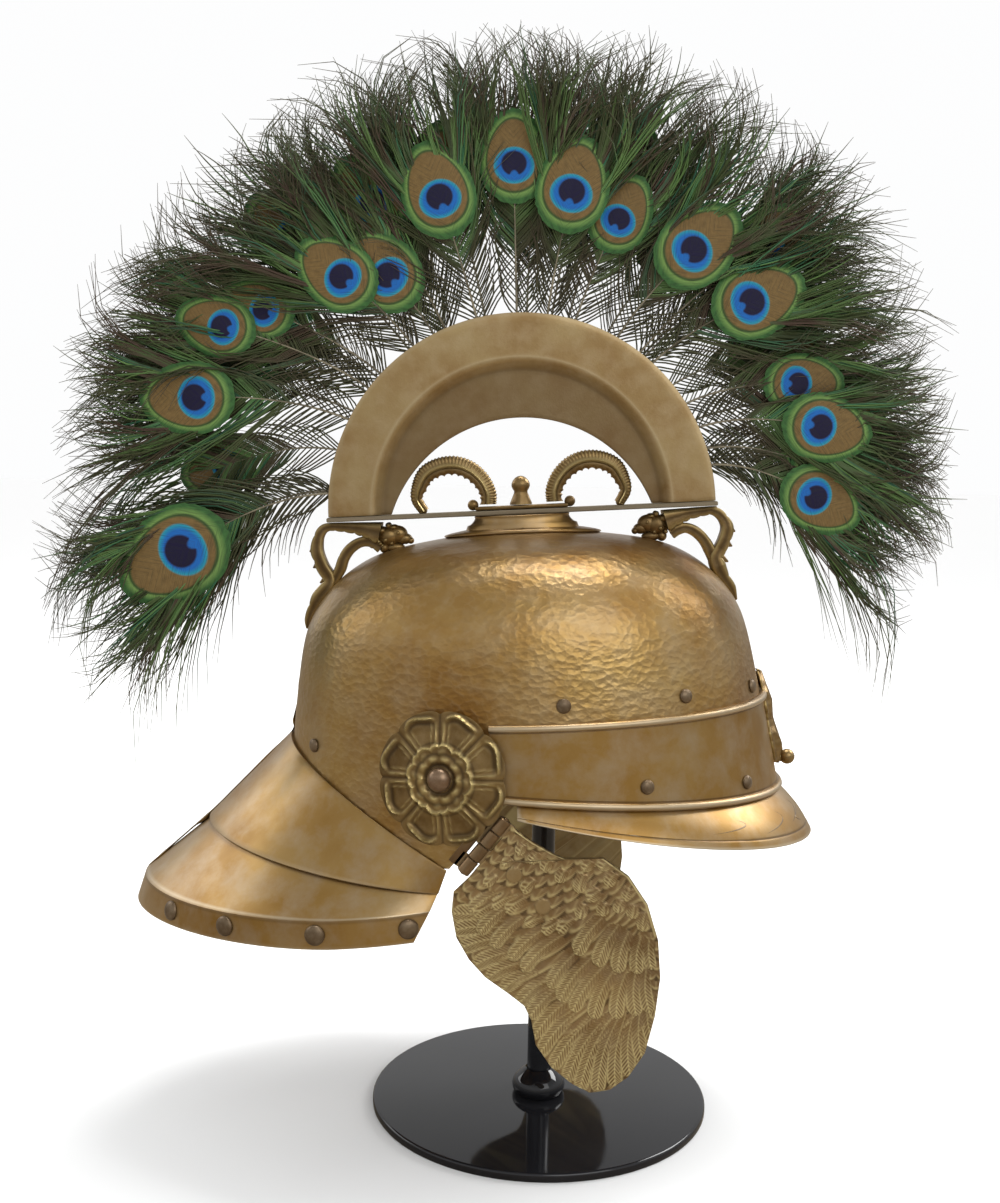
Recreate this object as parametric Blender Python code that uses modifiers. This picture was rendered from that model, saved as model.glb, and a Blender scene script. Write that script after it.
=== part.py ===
"""Parade helmet with a feather crest, hinged wing cheek-pieces and a plain display stand."""

import math

import bmesh
import bpy
from mathutils import Matrix, Vector

# Lengths are in metres. The stand is upright at the world's origin. The helmet is modelled level in
# its own frame: origin on the dome's axis at rim height, face towards +X, wearer's right towards -Y.
gap = 0.0003
sheet = 0.0011

base_diameter = 0.200
base_thickness = 0.005
base_edge = 0.0016
pole_diameter = 0.014
collar_diameter = 0.032
collar_height = 0.014
pad_diameter = 0.044
pad_thickness = 0.008
pad_clearance = 0.0005

rim_height = 0.1902
crown_setback = 0.008
lean = math.radians(3.5)

dome_length = 0.288
dome_width = 0.220
dome_height = 0.1544
dome_wall = 0.0015
dome_segments = 40
# Height share and radius share of each ring of the dome, from the skirt to the shoulder.
dome_rings = (
    (-0.16, 1.021),
    (0.00, 1.000),
    (0.19, 0.967),
    (0.38, 0.941),
    (0.60, 0.899),
    (0.715, 0.854),
    (0.81, 0.778),
    (0.885, 0.681),
    (0.94, 0.556),
    (0.973, 0.382),
)

upper_roll_height = 0.0570
lower_roll_height = 0.0190
guard_top_drop = 0.0442
guard_lap_drop = 0.0365
guard_lap_under = 0.012
# Sloping levels across the helmet: height on the dome's axis, and fall for each metre forward.
upper_roll = (upper_roll_height, 0.020)
lower_roll = (lower_roll_height, 0.115)
guard_top = (-guard_top_drop, 0.630)
rim_clearance = 0.0021

roll_radius = 0.0021
band_end_angle = math.radians(99)
visor_reach = 0.0181
visor_drop = 0.0281
visor_end_angle = math.radians(93.5)

guard_reach = 0.2366
guard_flare = 0.0075
guard_half_width = dome_width / 2 + guard_flare
guard_drop = 0.0510
guard_border = 0.0150
guard_front_back = 0.0420
guard_front_drop = 0.0114
guard_front_slope = 0.583
guard_columns = 22
guard_seat = 0.0004
lame_overlap = 0.16
spine_width = 0.010
spine_start = 0.083
spine_height = 0.0044

emblem_foot = 0.011
emblem_height = 0.055
emblem_width = 0.032
emblem_depth = 0.009
knob_diameter = 0.0090
knob_height = 0.0138
knob_out = 0.0108

rosette_diameter = 0.0714
rosette_thickness = 0.0065
rosette_back = 0.0462
rosette_height = 0.0322
rosette_turn = math.radians(19)
rosette_lean = math.radians(4)
rosette_petals = 8
stud_diameter = 0.0125

crest_shift = 0.0015
crest_radius = 0.1120
crest_band = 0.0260
crest_depth = 0.0160
crest_recess = 0.0050
crest_opening_radius = 0.0811
crest_opening_sink = 0.0283
bar_rise = 0.0124
bar_top = dome_height + bar_rise
bar_thickness = 0.0026
bar_width = 0.0200
bar_overhang = 0.0010
pedestal_length = 0.056
pedestal_width = 0.030
flange_length = 0.092
flange_width = 0.040
flange_thickness = 0.0016

scroll_span = 0.052
scroll_height = 0.032
scroll_start = 0.0190
plinth_length = 0.054
plinth_width = 0.012
plinth_thickness = 0.0038
plinth_knob = 0.0060
finial_diameter = 0.0135
finial_height = 0.0150
bracket_length = 0.0500
bracket_width = 0.0110

hinge_back = 0.0264
hinge_drop = 0.0017
hinge_rise = math.radians(48.3)
hinge_length = 0.0358
hinge_radius = 0.0035
hinge_out = 0.0011
pin_radius = 0.0015
pin_clearance = 0.0003
pin_proud = 0.0005
knuckle_count = 4
knuckle_gap = 0.0004
leaf_height = 0.0050
root_lap = 0.0020
leaf_clearance = 0.0008

wing_width = 0.1070
wing_height = 0.1420
wing_sheet = 0.0020
wing_relief = 0.0007
wing_left = -0.0448
wing_top = 0.0068

rivet_diameter = 0.0078
border_rivet_diameter = 0.0108
rivet_height = 0.0022

plume_sections = 7
feathers_per_section = 4
plume_reach = 0.2830
plume_roots = (math.radians(3), math.radians(177))
plume_tips = (math.radians(-15), math.radians(202))
quill_depth = 0.0100
rail_depth = 0.0130
rail_height = 0.0180
rail_sink = 0.0025
rail_end = math.radians(2)
feather_overlap = 1.35
feather_edge = 0.94
feather_short = 0.93
feather_thickness = 0.0110
feather_stagger = 0.0050
# Angle from the front in degrees, and the plume's reach there as a share of plume_reach.
plume_outline = (
    (-20, 0.80),
    (-6, 0.86),
    (16, 0.90),
    (30, 0.97),
    (54, 0.94),
    (72, 0.99),
    (108, 0.97),
    (122, 0.92),
    (142, 1.00),
    (192, 0.99),
    (206, 0.94),
)


def clear_scene():
    for obj in list(bpy.data.objects):
        bpy.data.objects.remove(obj, do_unlink=True)


def make_collection(name):
    collection = bpy.data.collections.new(name)
    bpy.context.scene.collection.children.link(collection)
    return collection


def make_material(name, colour, metallic, roughness):
    material = bpy.data.materials.new(name)
    material.use_nodes = True
    shader = material.node_tree.nodes["Principled BSDF"]
    shader.inputs["Base Color"].default_value = (*colour, 1.0)
    shader.inputs["Metallic"].default_value = metallic
    shader.inputs["Roughness"].default_value = roughness
    return material


def interpolate(table, value):
    """The second column of a table at this value of its first, read along straight lines."""
    for (low, first), (high, second) in zip(table, table[1:]):
        if value <= high:
            break
    share = (value - low) / (high - low)
    return first + (second - first) * share


def smooth_table(table, value):
    """As interpolate, along a smooth curve through the table's rows."""
    last = len(table) - 2
    index = 0
    while index < last and value > table[index + 1][0]:
        index += 1
    share = (value - table[index][0]) / (table[index + 1][0] - table[index][0])
    values = [table[min(max(index + step, 0), last + 1)][1] for step in (-1, 0, 1, 2)]
    bend = (
        2 * values[1]
        + (values[2] - values[0]) * share
        + (2 * values[0] - 5 * values[1] + 4 * values[2] - values[3]) * share**2
        + (3 * values[1] - 3 * values[2] + values[3] - values[0]) * share**3
    )
    return bend / 2


def add_object(name, mesh, material, collection, parent=None):
    obj = bpy.data.objects.new(name, mesh)
    collection.objects.link(obj)
    obj.parent = parent
    mesh.materials.clear()
    mesh.materials.append(material)
    return obj


def add_cutter(name, mesh, parent=None):
    obj = bpy.data.objects.new(name, mesh)
    cutters.objects.link(obj)
    obj.parent = parent
    obj.hide_render = True
    obj.display_type = "WIRE"
    return obj


def finish_mesh(mesh, sharp=math.radians(40)):
    mesh.shade_smooth()
    mesh.set_sharp_from_angle(angle=sharp)
    return mesh


def mesh_from(shape, name):
    bmesh.ops.recalc_face_normals(shape, faces=shape.faces)
    mesh = bpy.data.meshes.new(name)
    shape.to_mesh(mesh)
    shape.free()
    return finish_mesh(mesh)


def solid_loft(sections, name):
    """A closed body through closed sections of equal count, with flat ends."""
    shape = bmesh.new()
    rings = [[shape.verts.new(point) for point in section] for section in sections]
    for first, second in zip(rings, rings[1:]):
        for a in range(len(first)):
            b = (a + 1) % len(first)
            shape.faces.new((first[a], first[b], second[b], second[a]))
    shape.faces.new(reversed(rings[0]))
    shape.faces.new(rings[-1])
    return mesh_from(shape, name)


def sheet_mesh(rows, name, inside, apex=None, wrap=False):
    """An open surface through rows of points, its faces turned away from the point inside."""
    shape = bmesh.new()
    grid = [[shape.verts.new(point) for point in row] for row in rows]
    for upper, lower in zip(grid, grid[1:]):
        for a in range(len(upper) - (not wrap)):
            b = (a + 1) % len(upper)
            shape.faces.new((upper[a], upper[b], lower[b], lower[a]))
    if apex:
        tip = shape.verts.new(apex)
        top = grid[0]
        for a in range(len(top)):
            shape.faces.new((top[(a + 1) % len(top)], top[a], tip))
    bmesh.ops.recalc_face_normals(shape, faces=shape.faces)
    outward = sum(face.normal.dot(face.calc_center_median() - inside) for face in shape.faces)
    if outward < 0:
        bmesh.ops.reverse_faces(shape, faces=shape.faces)
    mesh = bpy.data.meshes.new(name)
    shape.to_mesh(mesh)
    shape.free()
    return finish_mesh(mesh)


def thicken(obj, thickness, offset=-1.0):
    wall = obj.modifiers.new("wall", "SOLIDIFY")
    wall.thickness = thickness
    wall.offset = offset
    wall.use_even_offset = True


def ball_mesh(place, diameter, name):
    shape = bmesh.new()
    bmesh.ops.create_uvsphere(shape, u_segments=8, v_segments=6, radius=diameter / 2)
    bmesh.ops.translate(shape, verts=shape.verts, vec=place)
    return mesh_from(shape, name)


def box_mesh(low, high, name):
    shape = bmesh.new()
    bmesh.ops.create_cube(shape, size=1.0)
    size = [b - a for a, b in zip(low, high)]
    bmesh.ops.scale(shape, verts=shape.verts, vec=size)
    centre = [(a + b) / 2 for a, b in zip(low, high)]
    bmesh.ops.translate(shape, verts=shape.verts, vec=centre)
    return mesh_from(shape, name)


def rod_mesh(radius, length, segments, transform, name):
    """A cylinder along the transform's own Z."""
    shape = bmesh.new()
    bmesh.ops.create_cone(
        shape,
        cap_ends=True,
        segments=segments,
        radius1=radius,
        radius2=radius,
        depth=length,
        matrix=transform,
    )
    return mesh_from(shape, name)


def turned(name, profile, steps, material, collection, parent=None):
    """A profile of (radius, height) pairs, from its top on the axis down its outer side."""
    shape = bmesh.new()
    points = [shape.verts.new((radius, 0, height)) for radius, height in profile]
    for first, second in zip(points, points[1:]):
        shape.edges.new((first, second))
    if profile[0][0] > 0:
        shape.edges.new((points[-1], points[0]))
    mesh = bpy.data.meshes.new(name)
    shape.to_mesh(mesh)
    shape.free()
    obj = add_object(name, mesh, material, collection, parent)
    screw = obj.modifiers.new("turn", "SCREW")
    screw.steps = steps
    screw.render_steps = steps
    screw.use_merge_vertices = True
    screw.merge_threshold = 0.00001
    screw.use_smooth_shade = True
    return obj


def outline_mesh(points, thickness, name, bevel=0.0, out=0.0):
    """A flat outline parallel to the XZ plane, made this thick about its place along Y."""
    curve = bpy.data.curves.new(name, "CURVE")
    curve.dimensions = "2D"
    curve.fill_mode = "BOTH"
    curve.extrude = thickness / 2 - bevel
    curve.bevel_depth = bevel
    curve.bevel_resolution = 0
    curve.offset = -bevel
    spline = curve.splines.new("POLY")
    spline.points.add(len(points) - 1)
    for point, (across, up) in zip(spline.points, points):
        point.co = (across, up, 0, 1)
    spline.use_cyclic_u = True
    upright = Matrix.Rotation(math.pi / 2, 4, "X")
    return mesh_of_curve(curve, Matrix.Translation((0, out, 0)) @ upright)


def tube_mesh(points, radii, name, sides=6, widen=1.0):
    """A bar along these points with a radius at each, made wider along Y."""
    curve = bpy.data.curves.new(name, "CURVE")
    curve.dimensions = "3D"
    curve.bevel_depth = 1.0
    curve.bevel_resolution = sides // 2 - 2
    curve.use_fill_caps = True
    spline = curve.splines.new("POLY")
    spline.points.add(len(points) - 1)
    for point, place, radius in zip(spline.points, points, radii):
        point.co = (*place, 1)
        point.radius = radius
    return mesh_of_curve(curve, Matrix.Diagonal((1, widen, 1, 1)))


def mesh_of_curve(curve, transform):
    guide = bpy.data.objects.new(curve.name, curve)
    cutters.objects.link(guide)
    graph = bpy.context.evaluated_depsgraph_get()
    mesh = bpy.data.meshes.new_from_object(guide.evaluated_get(graph))
    bpy.data.objects.remove(guide, do_unlink=True)
    shape = bmesh.new()
    shape.from_mesh(mesh)
    bmesh.ops.remove_doubles(shape, verts=shape.verts, dist=0.00001)
    bmesh.ops.transform(shape, matrix=transform, verts=shape.verts)
    bmesh.ops.recalc_face_normals(shape, faces=shape.faces)
    shape.to_mesh(mesh)
    shape.free()
    return finish_mesh(mesh)


def join(obj, meshes):
    """Fuses more meshes in the object's own frame to it."""
    others = bpy.data.collections.new(obj.name + "_joined")
    cutters.children.link(others)
    for index, mesh in enumerate(meshes):
        operand = add_cutter(f"{obj.name}_join_{index}", mesh, obj.parent)
        cutters.objects.unlink(operand)
        others.objects.link(operand)
    union = obj.modifiers.new("join", "BOOLEAN")
    union.operation = "UNION"
    union.operand_type = "COLLECTION"
    union.collection = others
    union.solver = "EXACT"


def cut(obj, mesh):
    cutter = add_cutter(f"{obj.name}_cut_{len(obj.modifiers)}", mesh, obj.parent)
    difference = obj.modifiers.new("cut", "BOOLEAN")
    difference.operation = "DIFFERENCE"
    difference.object = cutter
    difference.solver = "EXACT"


def level(plane, x):
    return plane[0] - plane[1] * x


def dome_share(z):
    """Radius share at a height on the dome's straight-sided rings."""
    return interpolate(dome_rings, z / dome_height)


def level_normal(angle):
    return Vector((math.cos(angle) / dome_length, math.sin(angle) / dome_width, 0)).normalized()


def dome_point(angle, z, out=0.0):
    """A point on the dome at this angle from the front, moved out along the level normal."""
    share = dome_share(z)
    x = dome_length / 2 * share * math.cos(angle)
    y = dome_width / 2 * share * math.sin(angle)
    return Vector((x, y, z)) + level_normal(angle) * out


def dome_on_level(angle, plane, lift=0.0, out=0.0):
    """The dome's point at this angle where a sloping level, lifted this far, meets it."""
    z = plane[0] + lift
    for _ in range(6):
        z = level(plane, dome_point(angle, z).x) + lift
    return dome_point(angle, z, out)


def dome_top_at(x, y):
    """Height of the dome's crown over a point of its plan."""
    share = math.hypot(2 * x / dome_length, 2 * y / dome_width)
    crown = [(radius, height) for height, radius in reversed(dome_rings)]
    return dome_height * interpolate([(0.0, 1.0), *crown], share)


def dome_profile_point(side, z, out):
    """A point off the dome's outline in the helmet's middle plane, out along its true normal."""
    step = dome_height * 0.026
    here = dome_point(0 if side > 0 else math.pi, z)
    above = dome_point(0 if side > 0 else math.pi, z + step)
    along = (above - here).normalized()
    return here + Vector((along.z * side, 0, abs(along.x))) * out


def make_stand():
    half = base_diameter / 2
    turned(
        "stand_base",
        (
            (0, base_thickness),
            (half - base_edge, base_thickness),
            (half - base_edge * 0.3, base_thickness - base_edge * 0.3),
            (half, base_thickness - base_edge),
            (half, 0),
            (0, 0),
        ),
        48,
        black_enamel,
        helmet_parts,
    )
    bore = pole_diameter / 2 + gap
    foot = base_thickness + gap
    half = collar_diameter / 2
    turned(
        "stand_collar",
        (
            (bore, foot + collar_height),
            (half * 0.62, foot + collar_height * 0.94),
            (half * 0.88, foot + collar_height * 0.70),
            (half, foot + collar_height * 0.38),
            (half * 0.90, foot),
            (bore, foot),
        ),
        16,
        black_enamel,
        helmet_parts,
    )
    pad_x = crown_setback + dome_height * math.tan(lean)
    pad_top = dome_top_at(pad_x + pad_diameter / 2, 0) - dome_wall - pad_clearance
    pad_foot = pad_top - pad_thickness
    pad = turned(
        "stand_pad",
        (
            (0, pad_top),
            (pad_diameter / 2 - gap * 5, pad_top),
            (pad_diameter / 2, pad_top - gap * 5),
            (pad_diameter / 2 * 0.7, pad_foot),
            (0, pad_foot),
        ),
        16,
        black_enamel,
        helmet_parts,
        helmet,
    )
    pad.location.x = pad_x
    pole_tilt = pole_diameter / 2 * math.tan(lean)
    under_pad = rim_height + math.cos(lean) * pad_foot + math.sin(lean) * pad_x
    pole_top = under_pad - pole_tilt - gap
    turned(
        "stand_pole",
        ((0, pole_top), (pole_diameter / 2, pole_top), (pole_diameter / 2, foot), (0, foot)),
        16,
        black_enamel,
        helmet_parts,
    )


def hinge_point(along, up):
    """A point of the hinge's plane: this far along its axis, and this far above it, as (x, z)."""
    x = -hinge_back + along * math.cos(hinge_rise) - up * math.sin(hinge_rise)
    z = -hinge_drop + along * math.sin(hinge_rise) + up * math.cos(hinge_rise)
    return x, z


def rim_cutter():
    """Everything below the dome's lower edge, as a side outline cut right across."""
    clear = hinge_radius + rim_clearance
    beyond = dome_length * 0.62
    upper = hinge_point(hinge_length * 0.72, clear)
    lower = hinge_point(-hinge_length * 0.62, clear)
    lap = guard_top[0] - guard_lap_under
    lap_start = (lap - lower[1]) / guard_top[1]
    outline = [
        (beyond, level(lower_roll, beyond)),
        (upper[0], level(lower_roll, upper[0])),
        lower,
        (lap_start, lower[1]),
        (-beyond, lap + guard_top[1] * beyond),
        (-beyond, -dome_height),
        (beyond, -dome_height),
    ]
    return outline_mesh(outline, dome_width * 1.4, "rim_outline")


def make_dome():
    rows = []
    for height, _ in reversed(dome_rings):
        z = height * dome_height
        rows.append(
            [dome_point(math.tau * step / dome_segments, z) for step in range(dome_segments)]
        )
    mesh = sheet_mesh(rows, "dome", Vector(), (0, 0, dome_height), wrap=True)
    dome = add_object("dome", mesh, hammered_brass, helmet_parts, helmet)
    thicken(dome, dome_wall)
    cut(dome, rim_cutter())


def band_section(angle):
    """Section of the brow band at one angle: a strip with a round roll along each edge."""
    roll = roll_radius
    strip = gap + sheet
    marks = (
        (lower_roll, -roll * 0.7, gap),
        (lower_roll, -roll, strip + roll * 0.5),
        (lower_roll, 0, strip + roll * 1.2),
        (lower_roll, roll, strip + roll * 0.7),
        (lower_roll, roll * 1.4, strip),
        (upper_roll, -roll * 1.4, strip),
        (upper_roll, -roll, strip + roll * 0.7),
        (upper_roll, 0, strip + roll * 1.2),
        (upper_roll, roll, strip + roll * 0.5),
        (upper_roll, roll * 0.7, gap),
    )
    return [dome_on_level(angle, plane, lift, out) for plane, lift, out in marks]


def make_band():
    steps = 22
    sections = [
        band_section(band_end_angle * (2 * step / steps - 1)) for step in range(steps + 1)
    ]
    add_object("brow_band", solid_loft(sections, "brow_band"), smooth_brass, helmet_parts, helmet)


def visor_row(share):
    """One row of the visor, from its root under the lower roll (0) to its free edge (1)."""
    row = []
    steps = 20
    for step in range(steps + 1):
        angle = visor_end_angle * (2 * step / steps - 1)
        size = 0.25 + 0.75 * (math.cos(angle) + 0.05) / 1.05
        swell = share + 0.10 * math.sin(math.pi * share)
        root = dome_on_level(angle, lower_roll, -roll_radius - gap)
        point = dome_point(angle, root.z, gap + sheet + visor_reach * size * swell)
        point.z = root.z - (visor_drop - roll_radius) * size * share
        row.append(point)
    return row


def make_visor():
    rows = [visor_row(step / 3) for step in range(4)]
    mesh = sheet_mesh(rows, "visor", Vector())
    visor = add_object("visor", mesh, smooth_brass, helmet_parts, helmet)
    thicken(visor, sheet)


def guard_plan(row, x):
    """Half width of a guard row at this x: pointed behind its widest place, round before it."""
    back, widest, half_width, power = row
    if x < widest:
        share = min((widest - x) / (widest - back), 1.0)
        return half_width * (1 - share**power) ** (1 / power)
    return half_width * math.sqrt(1 - ((x - widest) / (widest - back)) ** 2)


def guard_front(z):
    return guard_front_slope * (z + guard_front_drop) - guard_front_back


# Guard rows as (rearmost x, x of the widest place, half width, power), and their heights.
lap_row = (-0.805 * guard_reach, -0.296 * guard_reach, 0.915 * guard_half_width, 1.85)
border_row = (-0.975 * guard_reach, -0.435 * guard_reach, guard_half_width, 1.68)
edge_row = (-guard_reach, -0.444 * guard_reach, guard_half_width, 1.65)
lap_level = (-guard_lap_drop, 0.170)
border_level = (guard_border - guard_drop, 0.0)
edge_level = (-guard_drop, 0.0)


def guard_row(row, plane):
    """Points of a lower row of the guard, from the right front round the back to the left."""
    front = row[1]
    for _ in range(6):
        front = guard_front(level(plane, front))
    points = []
    for step in range(guard_columns + 1):
        turn = math.pi / 2 * (2 * step / guard_columns - 1)
        x = row[0] + (front - row[0]) * (1 - math.cos(turn))
        y = math.copysign(guard_plan(row, x), turn) if abs(turn) > 1e-6 else 0.0
        points.append(Vector((x, y, level(plane, x))))
    return points


def guard_top_row(out):
    """The guard's upper edge, where its sloping level meets the dome, from right to left."""
    front_x = guard_front(level(guard_top, -guard_front_back))
    end = math.acos(2 * front_x / dome_length)
    points = []
    for step in range(guard_columns + 1):
        angle = math.pi + (math.pi - end) * (1 - 2 * step / guard_columns)
        points.append(dome_on_level(angle, guard_top, 0.0, out))
    return points


def mix_rows(first, second, share):
    return [a.lerp(b, share) for a, b in zip(first, second)]


def stepped_in(row, above, below, distance):
    """A row moved this far to the inside of the surface between the rows above and below it."""
    moved = []
    last = len(row) - 1
    for index, point in enumerate(row):
        along = row[min(index + 1, last)] - row[max(index - 1, 0)]
        inward = along.cross(below[index] - above[index]).normalized()
        if inward.dot(point) > 0:
            inward = -inward
        moved.append(point + inward * distance)
    return moved


def guard_rows():
    """The guard's edges from its top down: at the dome, at the lap, at the crease and its foot."""
    top = guard_top_row(gap + sheet + guard_seat)
    lap = guard_row(lap_row, lap_level)
    border = guard_row(border_row, border_level)
    edge = guard_row(edge_row, edge_level)
    return top, lap, border, edge


def make_guard():
    top, lap, border, edge = guard_rows()
    inside = Vector((-guard_front_back, 0, 0))
    upper = [top, mix_rows(top, lap, 0.5), lap]
    mesh = sheet_mesh(upper, "neck_guard_upper", inside)
    obj = add_object("neck_guard_upper", mesh, smooth_brass, helmet_parts, helmet)
    thicken(obj, sheet)
    step_in = sheet + gap * 3
    lower = [
        stepped_in(mix_rows(top, lap, 1 - lame_overlap), top, lap, step_in),
        stepped_in(lap, top, lap, step_in),
        mix_rows(lap, border, 0.5),
        border,
        edge,
    ]
    mesh = sheet_mesh(lower, "neck_guard_lower", inside)
    obj = add_object("neck_guard_lower", mesh, smooth_brass, helmet_parts, helmet)
    thicken(obj, sheet)


def make_spine():
    """The cast strip down the back: up the dome's back and along the middle of both lames."""
    top, lap, border, _ = guard_rows()
    middle = guard_columns // 2
    over = gap * 2 + sheet
    off = Vector((-gap, 0, gap))
    path = [
        (dome_profile_point(-1, spine_start, gap), 0.14, 0.30),
        (dome_profile_point(-1, spine_start * 0.92, gap), 0.45, 0.70),
        (dome_profile_point(-1, spine_start * 0.75, gap), 0.18, 0.80),
        (dome_profile_point(-1, spine_start * 0.62, over * 1.4), 0.32, 1.00),
        (top[middle] + off, 0.23, 0.90),
        (top[middle].lerp(lap[middle], 0.22) + off, 0.59, 1.00),
        (top[middle].lerp(lap[middle], 0.40) + off, 0.20, 0.60),
        (top[middle].lerp(lap[middle], 0.86) + off, 0.55, 1.00),
        (top[middle].lerp(lap[middle], 0.97) + off, 0.23, 0.60),
        (lap[middle].lerp(border[middle], 0.60) + off, 0.27, 0.70),
        (lap[middle].lerp(border[middle], 0.78) + off, 0.59, 1.00),
        (lap[middle].lerp(border[middle], 0.96) + off * 3, 1.00, 0.80),
    ]
    sections = []
    for index, (place, height, width) in enumerate(path):
        before = path[max(index - 1, 0)][0]
        after = path[min(index + 1, len(path) - 1)][0]
        along = (after - before).normalized()
        outward = Vector((along.z, 0, -along.x))
        if outward.x > 0:
            outward = -outward
        side = Vector((0, spine_width / 2 * width, 0))
        low = place + outward * gap
        high = place + outward * (gap + spine_height * height)
        sections.append([low - side, low + side, high + side * 0.5, high - side * 0.5])
    mesh = solid_loft(sections, "back_spine")
    add_object("back_spine", mesh, cast_brass, helmet_parts, helmet)


# Height share, width share, and the shares of its depth at its face and at its back.
emblem_sections = (
    (1.00, 0.25, 0.33, 0.04),
    (0.91, 0.75, 0.56, 0.13),
    (0.82, 1.00, 0.89, 0.51),
    (0.67, 0.94, 0.89, 0.29),
    (0.51, 0.75, 0.82, 0.22),
    (0.38, 0.94, 0.98, 0.22),
    (0.25, 0.81, 1.00, 0.22),
    (0.13, 0.50, 1.00, 0.22),
    (0.00, 0.19, 0.64, 0.22),
)


def make_emblem():
    """The cast ornament at the brow's middle, standing over the band, with its round knob."""
    sections = []
    for height, width, face, back in emblem_sections:
        z = emblem_foot + emblem_height * height
        standoff = emblem_depth * back
        reach = emblem_depth * face
        half = math.asin(emblem_width * width / (dome_width * dome_share(z)))
        section = [dome_point(half * share, z, standoff) for share in (-1, 0, 1)]
        for share in (0.9, 0.35, -0.35, -0.9):
            crown = standoff + (reach - standoff) * (1 - share**2 / 2)
            section.append(dome_point(half * share, z, crown))
        sections.append(section)
    mesh = solid_loft(sections, "front_emblem")
    emblem = add_object("front_emblem", mesh, cast_brass, helmet_parts, helmet)
    join(emblem, [ball_mesh(dome_point(0, knob_height, knob_out), knob_diameter, "front_knob")])


# Radius share, height share and depth of the ripple between petals, from the middle out and back.
rosette_rings = (
    (0.28, 1.28, 0.0),
    (0.46, 0.74, 0.2),
    (0.80, 0.62, 0.5),
    (0.94, 1.00, 0.8),
    (1.00, 0.80, 1.0),
    (0.97, 0.30, 0.0),
    (0.60, 0.00, 0.0),
)


def rosette_underside(reach):
    """Height of the rosette's back at this distance from its middle."""
    rim, flat = rosette_rings[-2:]
    share = (2 * reach / rosette_diameter - flat[0]) / (rim[0] - flat[0])
    return rosette_thickness * rim[1] * min(max(share, 0.0), 1.0)


def rosette_frame(side):
    """The rosette's middle on the dome's side, and a turn that lays +Z along its outward normal."""
    x = -rosette_back
    z = rosette_height
    share = dome_share(z)
    y = dome_width / 2 * share * math.sqrt(1 - (2 * x / (dome_length * share)) ** 2)
    flat = math.cos(rosette_lean)
    normal = Vector(
        (
            -math.sin(rosette_turn) * flat,
            side * math.cos(rosette_turn) * flat,
            math.sin(rosette_lean),
        )
    )
    middle = Vector((x, side * y, z))
    seat = 0.0
    samples = 24
    half = rosette_diameter / 2
    for row in range(samples + 1):
        height = z + half * (2 * row / samples - 1)
        for column in range(samples + 1):
            angle = side * math.acos((x + half * (2 * column / samples - 1)) * 2 / dome_length)
            offset = dome_point(angle, height) - middle
            rise = offset.dot(normal)
            reach = (offset - normal * rise).length
            if reach < half:
                seat = max(seat, rise - rosette_underside(reach))
    turn = normal.to_track_quat("Z", "Y").to_matrix().to_4x4()
    return Matrix.Translation(middle + normal * (seat + gap)) @ turn


def rosette_mesh():
    """A disc of curled petals with a flat back."""
    count = rosette_petals * 4
    radius = rosette_diameter / 2
    shape = bmesh.new()

    def ring(share, height, ripple):
        verts = []
        for step in range(count):
            angle = math.tau * step / count
            wave = (1 - math.cos(rosette_petals * angle)) / 2
            reach = radius * share * (1 - 0.06 * ripple * (1 - wave))
            z = rosette_thickness * height * (1 - 0.5 * ripple * (1 - wave))
            verts.append(shape.verts.new((reach * math.cos(angle), reach * math.sin(angle), z)))
        return verts

    rings = [ring(*row) for row in rosette_rings]
    for inner, outer in zip(rings, rings[1:]):
        for a in range(count):
            b = (a + 1) % count
            shape.faces.new((inner[a], outer[a], outer[b], inner[b]))
    shape.faces.new(rings[0])
    shape.faces.new(reversed(rings[-1]))
    return mesh_from(shape, "rosette")


def make_rosettes():
    mesh = rosette_mesh()
    boss_top = rosette_thickness * rosette_rings[0][1] + gap
    half = stud_diameter / 2
    for word, side in sides:
        rosette = add_object("rosette_" + word, mesh, cast_brass, helmet_parts, helmet)
        rosette.matrix_local = rosette_frame(side)
        stud = turned(
            "rosette_stud_" + word,
            (
                (0, boss_top + half * 0.80),
                (half * 0.55, boss_top + half * 0.68),
                (half * 0.90, boss_top + half * 0.34),
                (half, boss_top),
                (0, boss_top),
            ),
            10,
            dark_brass,
            helmet_parts,
            helmet,
        )
        stud.matrix_local = rosette_frame(side)


def crest_centre():
    return Vector((crest_shift, 0, bar_top + gap))


def crest_plate_mesh(side):
    """Half of the hollow crest: a raised band round a recessed panel, turned half way round."""
    outer = crest_depth / 2 - sheet / 2
    inner = outer - crest_recess
    band_foot = crest_radius - crest_band
    profile = (
        (crest_radius, outer),
        (band_foot + crest_recess * 0.4, outer),
        (band_foot, outer - crest_recess * 0.24),
        (band_foot - crest_recess * 0.7, inner + crest_recess * 0.2),
        (band_foot - crest_recess * 1.4, inner),
        (crest_opening_radius - crest_opening_sink - crest_recess * 0.6, inner),
    )
    steps = 24
    rows = []
    for radius, out in profile:
        row = []
        for step in range(steps + 1):
            angle = math.pi * step / steps
            row.append((radius * math.cos(angle), side * out, radius * math.sin(angle)))
        rows.append([Vector(point) for point in row])
    return sheet_mesh(rows, "crest_plate", Vector((0, 0, crest_radius * 0.6)))


def make_crest_plates():
    for word, side in sides:
        mesh = crest_plate_mesh(side)
        plate = add_object("crest_plate_" + word, mesh, smooth_brass, helmet_parts, crest)
        thicken(plate, sheet, 0.0)
        place = Matrix.Translation((0, 0, -crest_opening_sink))
        across = place @ Matrix.Rotation(math.pi / 2, 4, "X")
        cut(plate, rod_mesh(crest_opening_radius, crest_depth * 2, 48, across, "crest_opening"))


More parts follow.
